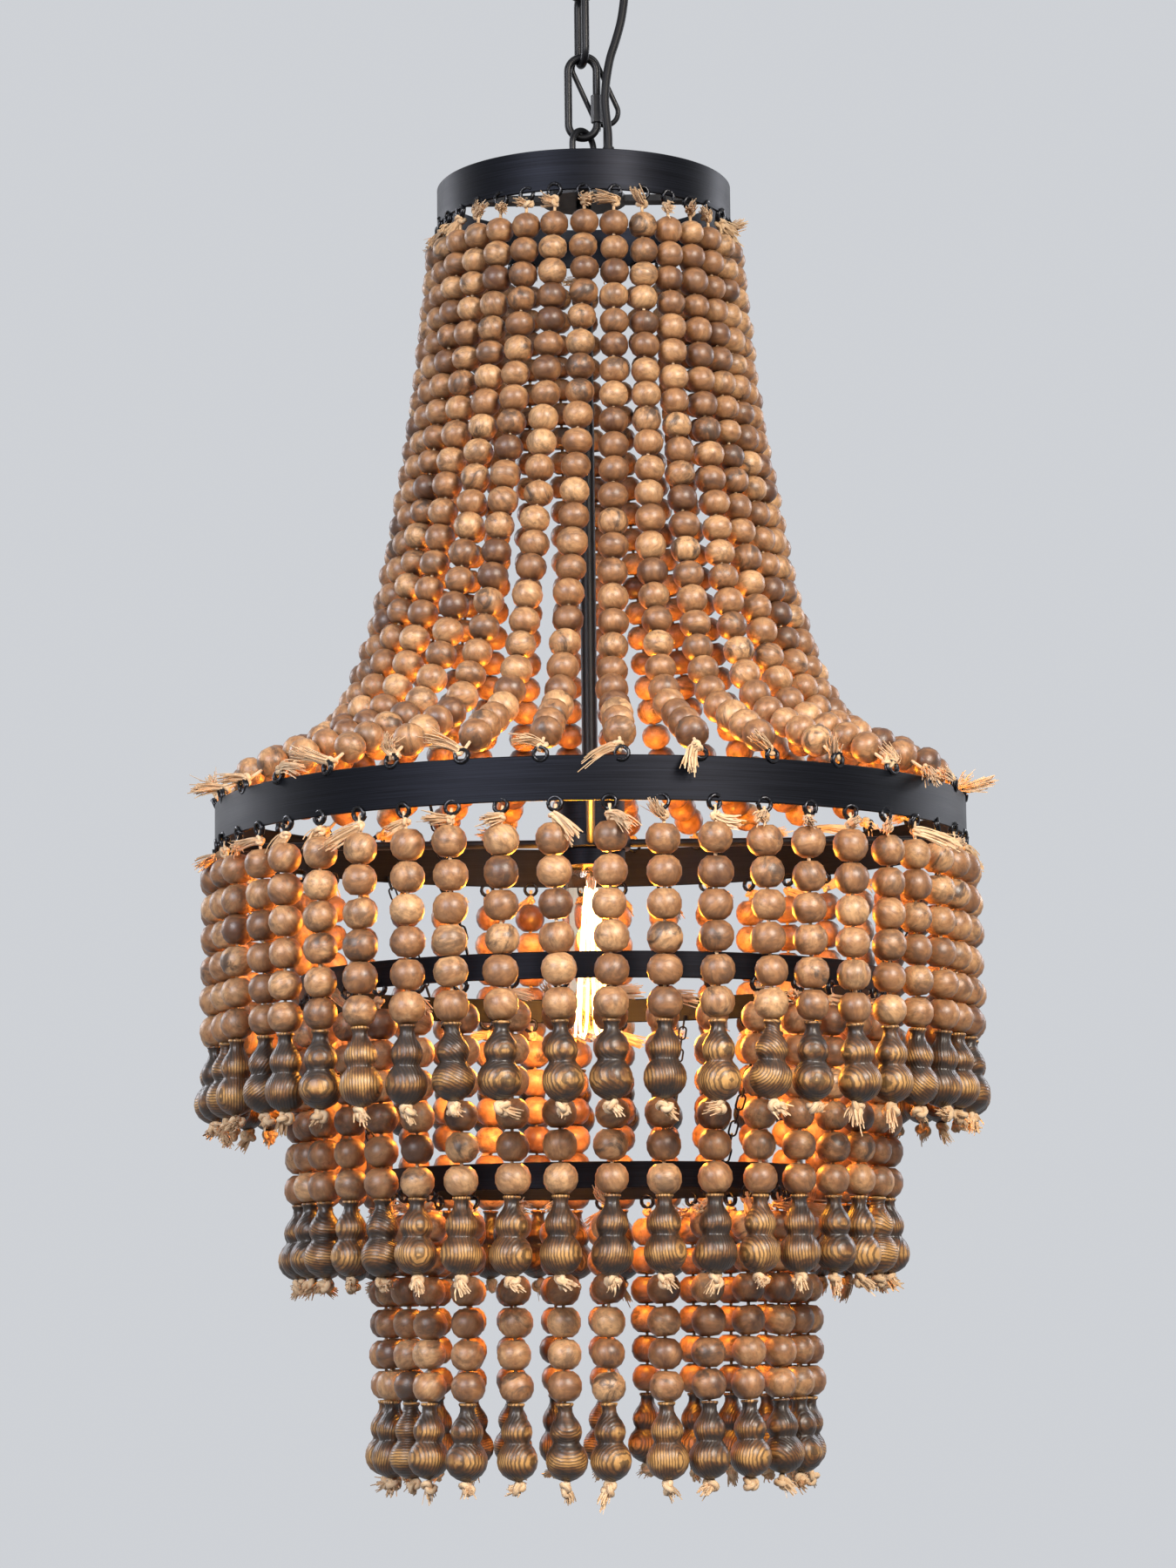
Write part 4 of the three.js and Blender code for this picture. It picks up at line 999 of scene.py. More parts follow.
class CHANDELIER_OT_stage(bpy.types.Operator):
    """Sets the camera, a pale floor and surroundings, and four softboxes"""

    bl_idname = "chandelier.stage"
    bl_label = "Studio"

    def execute(self, context):
        scene, stage = context.scene, context.scene.chandelier_stage
        self.add_camera(scene, stage)
        self.add_floor()
        self.add_surroundings(scene, stage)
        self.add_lights(scene, stage)
        scene.view_settings.view_transform = "Standard"
        return {"FINISHED"}

    def add_camera(self, scene, stage):
        """A camera tilted up by its pitch, then rolled about its own line of sight."""
        camera = bpy.data.objects.new("camera", bpy.data.cameras.new("camera"))
        scene.collection.objects.link(camera)
        camera.data.lens = stage.lens
        camera.data.clip_end = VIEW_DEPTH
        pitch, roll = stage.camera_pitch, stage.camera_roll
        right, up = Vector((1, 0, 0)), Vector((0, -math.sin(pitch), math.cos(pitch)))
        back = Vector((0, -math.cos(pitch), -math.sin(pitch)))
        rolled_right = right * math.cos(roll) - up * math.sin(roll)
        rolled_up = up * math.cos(roll) + right * math.sin(roll)
        turn = Matrix((rolled_right, rolled_up, back)).transposed().to_4x4()
        place = Vector((stage.camera_side, -stage.camera_distance, stage.camera_height))
        camera.matrix_world = Matrix.Translation(place) @ turn
        scene.camera = camera

    def add_floor(self):
        """A wide round floor below the lamp."""
        heights = [FLOOR_HEIGHT, FLOOR_HEIGHT, FLOOR_HEIGHT - FLOOR_THICKNESS]
        add_piece("floor", capped_lathe([0, FLOOR_RADIUS, 0], heights, 96), painted_floor())

    def add_surroundings(self, scene, stage):
        """Soft even light from all round. The eye, mirrors and glass see it as a pale wall instead."""
        world = bpy.data.worlds.new("soft_surroundings")
        world.use_nodes = True
        tree = world.node_tree
        tree.nodes.clear()
        soft = add_node(tree, "Background", {"Color": linear("#F4F6FA"), "Strength": stage.sky_strength})
        wall = add_node(tree, "Background", {"Color": stage.backdrop, "Strength": BACKDROP_STRENGTH})
        mixed = add_node(tree, "MixShader", {0: looked_at(tree), 1: soft, 2: wall})
        add_node(tree, "OutputWorld", {"Surface": mixed})
        scene.world = world

    def add_lights(self, scene, stage):
        """Round softboxes that all face the middle of the lamp."""
        for name, power, place, width, hex_colour in SOFTBOXES:
            data = bpy.data.lights.new(name, "AREA")
            data.shape, data.size, data.energy = "DISK", width, getattr(stage, power)
            data.spread = stage.softbox_spread
            data.color = linear(hex_colour)[:3]
            light = bpy.data.objects.new(name, data)
            scene.collection.objects.link(light)
            light.location = place
            light.rotation_mode = "QUATERNION"
            light.rotation_quaternion = (Vector(LIGHT_TARGET) - Vector(place)).to_track_quat("-Z", "Y")


class CHANDELIER_OT_flex(bpy.types.Operator):
    """Runs the flex beside the links, from the canopy's grip to the gland on the hub"""

    bl_idname = "chandelier.flex"
    bl_label = "Flex"

    def execute(self, context):
        line = smooth_line(FLEX_ROUTE, 121)
        join = round(FLEX_JOIN_SHARE * (len(line) - 1))
        for node, part, bodies in (
            ("flex_upper", line[: join + 1], ("ceiling", "upper_link")),
            ("flex_lower", line[join:], ("upper_link", "lamp_frame")),
        ):
            run = tube(part, FLEX_WIDTH / 2, 20, ALONG_Y)
            piece = add_piece(node + "_run", run, flex_sheath(), sharp_degrees=ROUND_DEGREES)
            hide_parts(node)
            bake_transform(piece)
        for node in ("canopy_cord_grip", "cord_gland"):
            dress(node, flex_sheath())
        return {"FINISHED"}


def stadium(length_out, width_out, wire, steps=20):
    """A link's middle line in the XZ plane, with its upper wire's middle at the origin: two half turns,
    joined by two straight legs."""
    radius = (width_out - wire) / 2
    turn = np.linspace(0, math.pi, steps)
    bend = np.stack([radius * np.cos(turn), 0 * turn, radius * np.sin(turn)], -1)
    return np.vstack([bend - radius * ALONG_Z, (wire - length_out + radius) * ALONG_Z - bend])


def wire_thread(centre, low, high, radius, pitch=0.0009, ridge=0.00022):
    """A rolled thread: a fine ridge that winds round a leg, x, y = radius times cosine and sine of the
    turn, with the height growing evenly."""
    steps_each = 14
    turns = (high - low) / pitch
    turn = np.linspace(0, 2 * math.pi * turns, round(turns * steps_each))
    rise = np.linspace(low, high, len(turn))
    line = np.stack([radius * np.cos(turn), radius * np.sin(turn), rise], -1)
    return tube(line + centre, ridge, 5, ALONG_Z)


def hexagon(outer, bore, low, high, ease):
    """A six-sided nut or sleeve with a bore, its corners eased at both ends."""
    radii = [outer - ease, outer, outer, outer - ease, bore, bore]
    return ring_lathe(radii, [low, low + ease, high - ease, high, high, low], 6)


class CHANDELIER_OT_ceiling(bpy.types.Operator):
    """Makes the ceiling fitting: canopy, bracket, screws, loop and nut"""

    bl_idname = "chandelier.ceiling"
    bl_label = "Ceiling fitting"

    def execute(self, context):
        self.add_canopy()
        dress("ceiling_bracket", zinc_steel())
        for node, side in (("canopy_screw_left", -1), ("canopy_screw_right", 1)):
            self.add_screw(node, side)
        self.add_loop()
        self.add_nut()
        return {"FINISHED"}

    def add_canopy(self):
        """A spun cup: its section goes down the side, round a quarter circle, and in to the hole."""
        low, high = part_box("ceiling_canopy")
        outer, wall, corner = high.x, 0.0012, 0.009
        turn = np.linspace(0, math.pi / 2, 9)
        across, down = np.cos(turn), np.sin(turn)
        out_r, out_z = outer - corner + corner * across, low.z + corner - corner * down
        in_r, in_z = outer - corner + (corner - wall) * across, low.z + corner - (corner - wall) * down
        radii = [outer, *out_r, outer / 2, SHANK_HOLE, SHANK_HOLE, outer / 2, *in_r[::-1], outer - wall]
        floor = low.z + wall
        heights = [high.z, *out_z, low.z, low.z, floor, floor, *in_z[::-1], high.z]
        canopy = ring_lathe(radii, heights, 128)
        add_piece("canopy_spun", canopy, satin_black_steel(), "ceiling", ["ceiling_canopy"])

    def add_screw(self, node, side):
        """A pan-head screw lying along X. Its section goes from the tip along the shank to the head."""
        low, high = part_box(node)
        middle = (low + high) / 2
        reach, head_radius = high.x - low.x, (high.z - low.z) / 2
        head, shank, tip, tip_share = 0.0024, 0.0019, 0.0008, 0.7
        section_shares = ((1, 1), (1, 0.6), (0.86, 0.2), (0.5, 0))
        head_radii = [head_radius * share for share, _ in section_shares]
        head_places = [reach - head * share for _, share in section_shares]
        radii = [0, shank * tip_share, shank, shank, *head_radii, 0]
        places = [0, 0, tip, reach - head, *head_places, reach]
        shape = capped_lathe(radii, places, 32)
        start = side * min(abs(low.x), abs(high.x))
        shape.points = spun(shape.points, 90 * side, "Y") + [start, middle.y, middle.z]
        add_piece(node + "_turned", shape.facing_out(), zinc_steel(), "ceiling", [node])

    def add_loop(self):
        """The bent loop with its threaded shank."""
        low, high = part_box("ceiling_loop")
        width = high.y - low.y
        shank, point, ease, sink, thread_depth, bare_tip = 0.004, 0.0034, 0.0006, 0.003, 0.0002, 0.001
        line = spun(stadium(width, width, LINK_WIRE, 28), 90) + [0, 0, low.z + width - LINK_WIRE / 2]
        ring = tube(line, LINK_WIRE / 2, 18, ALONG_X, closed=True)
        foot = low.z + width - sink
        stud = capped_lathe([0, point, shank, shank, 0], [high.z, high.z, high.z - ease, foot, foot], 28)
        thread_low, thread_high = low.z + width + thread_depth, high.z - bare_tip
        thread = wire_thread([0, 0, 0], thread_low, thread_high, shank - thread_depth)
        shape = joined([ring, stud, thread])
        add_piece("loop_bent", shape, satin_black_steel(), "ceiling", ["ceiling_loop"])

    def add_nut(self):
        """The hexagon nut under the canopy."""
        low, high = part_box("loop_nut")
        ease = 0.0006
        nut = hexagon(high.x, SHANK_HOLE, low.z, high.z, ease)
        add_piece("nut_hexagon", nut, satin_black_steel(), "ceiling", ["loop_nut"], 20)


def link_of(node, wire):
    """The middle line of a link that fills a node's box, and the direction across its plane."""
    low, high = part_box(node)
    size, middle = high - low, (low + high) / 2
    flat = size.y < size.x
    line = stadium(size.z, max(size.x, size.y), wire)
    line = line if flat else spun(line, 90)
    return line + [middle.x, middle.y, high.z - wire / 2], ALONG_Y if flat else ALONG_X


class CHANDELIER_OT_links(bpy.types.Operator):
    """Bends the links, the screw link with its sleeve, the guide link, the tether and the eye"""

    bl_idname = "chandelier.links"
    bl_label = "Links"

    def execute(self, context):
        self.add_link("upper_link", LINK_WIRE, body="upper_link")
        self.add_link("lower_link", LINK_WIRE, turn=LOWER_LINK_TURN)
        self.add_screw_link()
        self.add_guide()
        self.add_link("safety_tether", TETHER_WIRE, sides=14)
        self.add_eye()
        return {"FINISHED"}

    def add_bar(self, node, bar, body="lamp_frame", sharp_degrees=ROUND_DEGREES):
        add_piece(node + "_bar", bar, satin_black_steel(), body, [node], sharp_degrees)

    def add_link(self, node, wire, body="lamp_frame", turn=0, sides=18):
        """A closed link that fills its node's box, then is turned about Z."""
        line, across = link_of(node, wire)
        self.add_bar(node, tube(spun(line, turn), wire / 2, sides, spun(across, turn), closed=True), body)

    def add_guide(self):
        """The slanted link: laid over sideways by its slant, then forwards by its lean."""
        guide, across = (
            spun(spun(points, -GUIDE_SLANT, "Y"), GUIDE_LEAN, "X")
            for points in (stadium(GUIDE_LENGTH, GUIDE_WIDTH, GUIDE_WIRE, 24), ALONG_Y)
        )
        self.add_bar("guide_link", tube(guide + GUIDE_TOP, GUIDE_WIRE / 2, 16, across, closed=True))

    def add_screw_link(self):
        """An open link whose gap a hexagon sleeve closes, on a thread that shows under the sleeve."""
        gap_foot, gap_top, thread_shown, thread_sink, ease = 0.0027, 0.0112, 0.0045, 0.0001, 0.0005
        low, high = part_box("screw_link")
        sleeve_low, sleeve_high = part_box("screw_link_sleeve")
        wire_radius = LINK_WIRE / 2
        leg = (high.x - low.x) / 2 - wire_radius
        ring = stadium(high.z - low.z, high.x - low.x, LINK_WIRE, 24) + [0, 0, high.z - wire_radius]
        over, under = np.split(ring, 2)
        # Extra points keep the long legs' rings square to the leg.
        line = np.vstack(
            [
                np.linspace([leg, 0, sleeve_low.z + gap_top], over[0], 4)[:-1],
                over,
                np.linspace(over[-1], under[0], 4)[1:-1],
                under,
                np.linspace(under[-1], [leg, 0, sleeve_low.z + gap_foot], 4)[1:],
            ]
        )
        thread_low = sleeve_low.z - thread_shown
        thread = wire_thread([leg, 0, 0], thread_low, sleeve_low.z, wire_radius - thread_sink)
        self.add_bar("screw_link", joined([tube(line, wire_radius, 18, ALONG_Y), thread]), sharp_degrees=60)
        outer, bore = (sleeve_high.x - sleeve_low.x) / 2, wire_radius + EDGE_GAP
        sleeve = hexagon(outer, bore, 0, sleeve_high.z - sleeve_low.z, ease)
        sleeve.points = sleeve.points + [leg, 0, sleeve_low.z]
        node = "screw_link_sleeve"
        add_piece("sleeve_hexagon", sleeve, satin_black_steel(), node, [node], 20)

    def add_eye(self):
        """The eye: a half turn over two straight legs that stand on the hub."""
        low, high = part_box("top_eye")
        radius = (EYE_WIDTH - EYE_WIRE) / 2
        turn = np.linspace(0, math.pi, 25)
        over = np.stack([radius * np.cos(turn), 0 * turn, radius * np.sin(turn)], -1)
        over[:, 2] += high.z - EYE_WIRE / 2 - radius
        first, last = [radius, 0, low.z], [-radius, 0, low.z]
        line = np.vstack([np.linspace(first, over[0], 4)[:-1], over, np.linspace(over[-1], last, 4)[1:]])
        bar = tube(spun(line, EYE_TURN), EYE_WIRE / 2, 16, spun(ALONG_Y, EYE_TURN))
        self.add_bar("top_eye", bar, sharp_degrees=60)


class CHANDELIER_OT_stem(bpy.types.Operator):
    """Makes the hub, the rod down the middle, and the four arms that carry the middle hoop"""

    bl_idname = "chandelier.stem"
    bl_label = "Hub, rod and arms"

    def execute(self, context):
        dress("hub_cross", satin_black_steel())
        low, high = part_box("central_rod")
        radius = (high.x - low.x) / 2
        rod = capped_lathe([0, radius, radius, 0], [high.z, high.z, low.z, low.z], 32)
        add_piece("rod_drawn", rod, satin_black_steel(), "lamp_frame", ["central_rod"])
        self.add_arms()
        return {"FINISHED"}

    def add_arms(self):
        """A collar round the rod, with a round bar welded into it for each arm."""
        low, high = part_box("lamp_arms")
        middle, reach = (low.z + high.z) / 2, high.x
        bore, wall, ease, arm_radius, sink = 0.0208, 0.003, 0.0006, 0.0025, 0.001
        outer = bore + wall
        radii = [bore, outer - ease, outer, outer, outer - ease, bore]
        collar = ring_lathe(radii, [low.z, low.z, low.z + ease, high.z - ease, high.z, high.z], 64)
        arms = [
            tube(polar(np.linspace(outer - sink, reach, 3), angle, middle), arm_radius, 18, ALONG_Z)
            for angle in range(0, 360, 90)
        ]
        arms = joined([collar, *arms])
        add_piece("arms_welded", arms, satin_black_steel(), "lamp_frame", ["lamp_arms"])


def screw_cap(radius, top, foot, pitch=0.0036, depth=0.00055, sides=48, rows=60):
    """The rolled screw cap: its radius less the depth times the square of a sine. That sine's angle is half
    the turn less half a turn for each pitch of height, so the groove winds down. It fades at both ends."""
    fade_length, end_inset = 0.002, 0.0006
    turn, height = full_turn(sides)[None], np.linspace(top, foot, rows)[:, None]
    fade = np.clip(np.minimum(top - height, height - foot) / fade_length, 0, 1)
    groove = depth * fade * np.sin(turn / 2 - math.pi * height / pitch) ** 2
    around = radius - groove - end_inset * (1 - fade)
    rings = np.stack(np.broadcast_arrays(around * np.cos(turn), around * np.sin(turn), height), -1)
    return capped(rings, [0, 0, top], [0, 0, foot])


class CHANDELIER_OT_lamp(bpy.types.Operator):
    """Makes the lamp holder and the lit tubular bulb with its cap, glass, stem, filament and light"""

    bl_idname = "chandelier.lamp"
    bl_label = "Lamp holder and bulb"

    def execute(self, context):
        self.add_holder()
        self.add_cap()
        low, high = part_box("bulb_glass")
        self.add_glass(low.z, high.z, (high.x - low.x) / 2)
        self.add_filament(low.z, high.z)
        self.add_light(low.z, context.scene.chandelier_stage)
        return {"FINISHED"}

    def add_holder(self):
        """A drawn steel cup whose shoulder is a quarter circle, with its porcelain insert."""
        low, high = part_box("lamp_holder")
        outer, wall, ease = high.x, 0.0015, 0.0018
        inside, ceiling = outer - wall, high.z - wall
        turn = np.linspace(0, math.pi / 2, 7)
        shoulder_r = outer - ease + ease * np.sin(turn)
        shoulder_z = high.z - ease + ease * np.cos(turn)
        radii = [0, *shoulder_r, outer, inside, inside, 0]
        cup = capped_lathe(radii, [high.z, *shoulder_z, low.z, low.z, ceiling, ceiling], 72)
        x, y, z = cup.points.T
        cup.carried["along"] = np.stack([np.arctan2(y, x) * outer, y, z], -1)
        add_piece("holder_cup", cup, brushed_black_steel(), "lamp_frame", ["lamp_holder"])
        dress("holder_insert", glazed_porcelain())

    def add_cap(self):
        """The screw cap, with the contact's stepped button on top."""
        low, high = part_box("bulb_cap")
        button, button_base, shell, ease, rise = 0.004, 0.005, 0.0095, 0.0006, 0.003
        foot = high.z - rise - 0.0001
        heights = [high.z, high.z, high.z - ease, foot, foot]
        contact = capped_lathe([0, button, button_base, shell, 0], heights, 32)
        cap = joined([screw_cap((high.x - low.x) / 2, high.z - rise, low.z), contact])
        add_piece("bulb_screw_cap", cap, rolled_brass(), "bulb", ["bulb_cap"])

    def add_glass(self, tip, top, radius):
        """The blown tube: neck, shoulder, straight side and a half-round end, with a wall 0.7 mm thick."""
        wall, neck, shoulder_top, shoulder_foot, head = 0.0007, 0.0125, 0.0075, 0.0185, 0.0012
        turn = np.linspace(0, math.pi / 2, 12)
        swell = (1 + np.sin(np.linspace(-math.pi / 2, math.pi / 2, 9))) / 2
        shoulder_z = np.linspace(top - shoulder_top, top - shoulder_foot, 9)

        def shell(less, start):
            """The glass's outside, or its hollow, drawn in by a wall."""
            shoulder_r = neck + (radius - neck) * swell - less
            dome_r = (radius - less) * np.cos(turn[:-1])
            dome_z = tip + radius - (radius - less) * np.sin(turn)
            heights = [start, start, *shoulder_z, *dome_z]
            return capped_lathe([0, neck - less, *shoulder_r, *dome_r, 0], heights, 64)

        glass = joined([shell(0, top), shell(wall, top - head).inside_out()])
        add_piece("bulb_blown_glass", glass, blown_glass(), "bulb", ["bulb_glass"], 60)

    def add_filament(self, tip, top):
        """Hairpin loops round a glass stem: the thread goes up and down between two rings of hooks."""
        count, thread_radius = 13, 0.00075
        upper, lower = (0.0045, top - 0.034), (0.0102, tip + 0.012)
        knots = []
        for step, angle in enumerate(full_turn(count)):
            for radius, height in (upper, lower) if step % 2 == 0 else (lower, upper):
                knots.append((radius * math.cos(angle), radius * math.sin(angle), height))
        thread = tube(smooth_line(knots, 380), thread_radius, 6, ASLANT)
        add_piece("bulb_filament", thread, glowing_filament(), "bulb", sharp_degrees=ROUND_DEGREES)
        # The stem's radii and depths under the glass's top, and its tip over the lower hooks
        flare = ((0, 0.002), (0.0058, 0.002), (0.0052, 0.012), (0.0032, 0.022), (0.0018, 0.03))
        radii, heights = [radius for radius, _ in flare], [top - depth for _, depth in flare]
        tip_radius, tip_rise, tip_ease = 0.0016, 0.003, 0.001
        ends = [lower[1] + tip_rise + tip_ease, lower[1] + tip_rise]
        stem = capped_lathe([*radii, tip_radius, 0], [*heights, *ends], 24)
        add_piece("bulb_stem", stem, blown_glass(), "bulb", (), 60)

    def add_light(self, tip, stage):
        """Two lamps, at the filament's upper and lower loops, that share the bulb's power."""
        rises, glow_radius = (0.0625, 0.027), 0.011
        for rise in rises:
            light = bpy.data.lights.new("bulb_light", "POINT")
            light.energy, light.color = stage.bulb_power / len(rises), tuple(stage.bulb_colour)[:3]
            light.shadow_soft_size = glow_radius
            lit = bpy.data.objects.new("bulb_light", light)
            bpy.context.scene.collection.objects.link(lit)
            lit.location = (0, 0, tip + rise)
            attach(lit, "bulb")


class CHANDELIER_OT_hoops(bpy.types.Operator):
    """Rolls the four steel hoops, each a flat band with eased edges"""

    bl_idname = "chandelier.hoops"
    bl_label = "Hoops"

    def execute(self, context):
        ease = HOOP_WALL * HOOP_EASE_SHARE
        for node, body in (
            ("top_hoop", "lamp_frame"),
            ("middle_hoop", "lamp_frame"),
            ("second_hoop", "second_hoop"),
            ("third_hoop", "third_hoop"),
        ):
            width, low, high = hoop_edges(node)
            outer, inner = width / 2, width / 2 - HOOP_WALL
            out, back = [outer, outer, outer, outer - ease], [inner + ease, inner, inner, inner]
            rise = [low + ease, (low + high) / 2, high - ease, high]
            radii, heights = [*out, *back, inner + ease, outer - ease], [*rise, *rise[::-1], low, low]
            band = ring_lathe(radii, heights, 192)
            add_piece(node + "_band", band, brushed_black_steel(), body, [node])
        return {"FINISHED"}


def chain_line(top, foot):
    """Links from top to foot, each turned a quarter from the last, at an even pitch."""
    reach = foot - top
    span = float(np.linalg.norm(reach))
    count = max(2, round(span / (CHAIN_LINK_LENGTH - 2 * CHAIN_WIRE)))
    outline = stadium(span / count + 2 * CHAIN_WIRE, CHAIN_LINK_WIDTH, CHAIN_WIRE, 8)
    link = tube(outline, CHAIN_WIRE / 2, 6, ALONG_Y, closed=True)
    number = np.arange(count)
    turns = turned_to(np.tile(-reach, (count, 1)), number * math.pi / 2)
    return copies(link, turns, top + reach * (number[:, None] / count), np.ones(count))


class CHANDELIER_OT_chains(bpy.types.Operator):
    """Hangs the slim chains that carry the second and third hoops"""

    bl_idname = "chandelier.chains"
    bl_label = "Chains"

    def execute(self, context):
        inset, top_rise, foot_rise = 0.0018, 0.003, 0.0008
        for tier, upper, lower in CHAINS:
            upper_width, upper_edge, _ = hoop_edges(upper)
            lower_width, _, lower_edge = hoop_edges(lower)
            for number in range(1, CHAINS_EACH + 1):
                node = f"{tier}_chain_{number}"
                low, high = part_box(node)
                outward = unit(np.array([low.x + high.x, low.y + high.y, 0]))
                top = outward * (upper_width / 2 - HOOP_WALL - inset) + [0, 0, upper_edge + top_rise]
                foot = outward * middle_radius(lower_width) + [0, 0, lower_edge + foot_rise]
                links = chain_line(top, foot)
                steel = satin_black_steel()
                add_piece(node + "_links", links, steel, node, [node], ROUND_DEGREES)
        return {"FINISHED"}


def split_ring(width, wire, steps=13, sides=5):
    """A split ring: a wire wound twice round, x, y = radius times cosine and minus sine, with z rising."""
    rise_share = 1.15
    turn = np.linspace(0, 4 * math.pi, 2 * steps)
    radius = (width - wire) / 2
    rise = np.linspace(-0.5, 0.5, len(turn)) * wire * rise_share
    line = np.stack([radius * np.cos(turn), -radius * np.sin(turn), rise], -1)
    return tube(line, wire / 2, sides, ALONG_Z)


class CHANDELIER_OT_split_rings(bpy.types.Operator):
    """Hooks a split ring over a hoop's edge for every strand, and ties the upper strands' string ends"""

    bl_idname = "chandelier.split_rings"
    bl_label = "Split rings"

    def execute(self, context):
        sizes = context.scene.chandelier_sizes
        random = np.random.default_rng(sizes.seed + 101)
        upper = np.arange(sizes.upper_strands) * 360 / sizes.upper_strands
        self.ring_row(sizes, random, "top_hoop", "lamp_frame", UPPER_TOP_ANGLE + upper, False)
        self.ring_row(sizes, random, "middle_hoop", "lamp_frame", UPPER_LOWER_ANGLE + upper, True)
        for tier in TIERS.values():
            angles = tier["angle"] + np.arange(tier["strands"]) * 360 / tier["strands"]
            self.ring_row(sizes, random, tier["hoop"], tier["body"], angles, False)
        self.tie_upper(sizes, random, "top_hoop", UPPER_TOP_ANGLE + upper, False)
        self.tie_upper(sizes, random, "middle_hoop", UPPER_LOWER_ANGLE + upper, True)
        return {"FINISHED"}

    def ring_row(self, sizes, random, hoop, body, angles, on_top):
        """Split rings round a hoop's upper or lower edge, each a little off in place and way."""
        rise, drop, angle_spread, height_spread, face_spread = 0.0014, 0.0011, 0.15, 0.0005, 0.16
        # In radians, just short of a full turn
        widest_spin = 6.28
        width, low, high = hoop_edges(hoop)
        count = len(angles)
        height = high + rise if on_top else low - drop
        off = random.normal(0, angle_spread, count)
        centres = polar(middle_radius(width), angles + off, height)
        centres[:, 2] += random.normal(0, height_spread, count)
        face = polar(1.0, angles, 0.0) + random.normal(0, face_spread, (count, 3))
        ring = split_ring(sizes.split_ring_width, sizes.split_ring_wire)
        turns = turned_to(face, random.uniform(0, widest_spin, count))
        row = copies(ring, turns, centres, np.ones(count))
        name = f"{hoop}_{'upper' if on_top else 'lower'}_rings"
        add_piece(name, row, black_plated_wire(), body, (), ROUND_DEGREES)

    def tie_upper(self, sizes, random, hoop, angles, on_top):
        """Knots beside the split rings, with brushes of fibre that lie along the edge."""
        rise, drop, inset, knot_share, angle_spread = 0.005, 0.0065, 0.002, 0.9, 0.3
        side_shares, out_range, up_spread = [0.65, 0.35], (0.3, 1.2), 0.5
        up, shortest, longest = (0.5, 0.012, 0.021) if on_top else (0, 0.006, 0.011)
        width, low, high = hoop_edges(hoop)
        count = len(angles)
        height = high + rise if on_top else low - drop
        radius = middle_radius(width) - (inset if on_top else 0)
        centres = polar(radius, angles + random.normal(0, angle_spread, count), height)
        knot = knot_shape(sizes.knot_width * knot_share)
        knots = copies(knot, any_turns(random, count), centres, np.ones(count))
        outward, tangent = polar(1.0, angles, 0.0), polar(1.0, angles + 90, 0.0)
        sides = random.choice([-1.0, 1.0], (count, 1), p=side_shares)
        way = outward * random.uniform(*out_range, (count, 1)) + tangent * sides
        way[:, 2] = random.normal(up, up_spread, count)
        tails = frayed_tails(centres, way, random.uniform(shortest, longest, count), random)
        ties = joined([knots, tails])
        add_piece(f"{hoop}_ties", ties, jute_twine(), "lamp_frame", (), ROUND_DEGREES)


class CHANDELIER_OT_upper_strands(bpy.types.Operator):
    """Hangs the upper strands of small beads from the top hoop to the middle hoop"""

    bl_idname = "chandelier.upper_strands"
    bl_label = "Upper strands"

    def execute(self, context):
        sizes = context.scene.chandelier_sizes
        random = np.random.default_rng(sizes.seed)
        flatness, flatness_spread, swing_spread = 0.92, 0.03, 0.55
        for curtain, numbers in enumerate(dealt(sizes.upper_strands, UPPER_CURTAINS)):
            beads, lines = [], []
            for turn in numbers * 360 / sizes.upper_strands:
                size_jitter = random.normal(flatness, flatness_spread, sizes.upper_bead_count)
                swing = random.normal(0, swing_spread)
                radius, angle, height, widths, lengths = upper_strand_beads(sizes, swing, size_jitter)
                centres = polar(radius, angle + turn, height)
                beads.append(strung(centres, np.gradient(centres, axis=0), widths, lengths, random))
                lines.append(self.string_line(centres, turn))
            node = f"upper_strands_{curtain + 1}"
            string = strings(lines, sizes.string_radius)
            for name, shape, wood, replaced, slot in (
                (node + "_beads", joined(beads), turned_bead_wood(), [node], "bead_wood"),
                (node + "_string", string, jute_twine(), (), "jute"),
            ):
                add_piece(name, shape, wood, "lamp_frame", replaced, ROUND_DEGREES)
        return {"FINISHED"}

    def string_line(self, centres, turn):
        """The string through one strand, from the top hoop's edge to the middle hoop's."""
        top_width, top_edge, _ = hoop_edges("top_hoop")
        middle_width, _, middle_edge = hoop_edges("middle_hoop")
        head = polar(middle_radius(top_width), UPPER_TOP_ANGLE + turn, top_edge - UPPER_LAP)
        foot = polar(middle_radius(middle_width), UPPER_LOWER_ANGLE + turn, middle_edge + UPPER_LAP)
        return np.vstack([head, centres, foot])


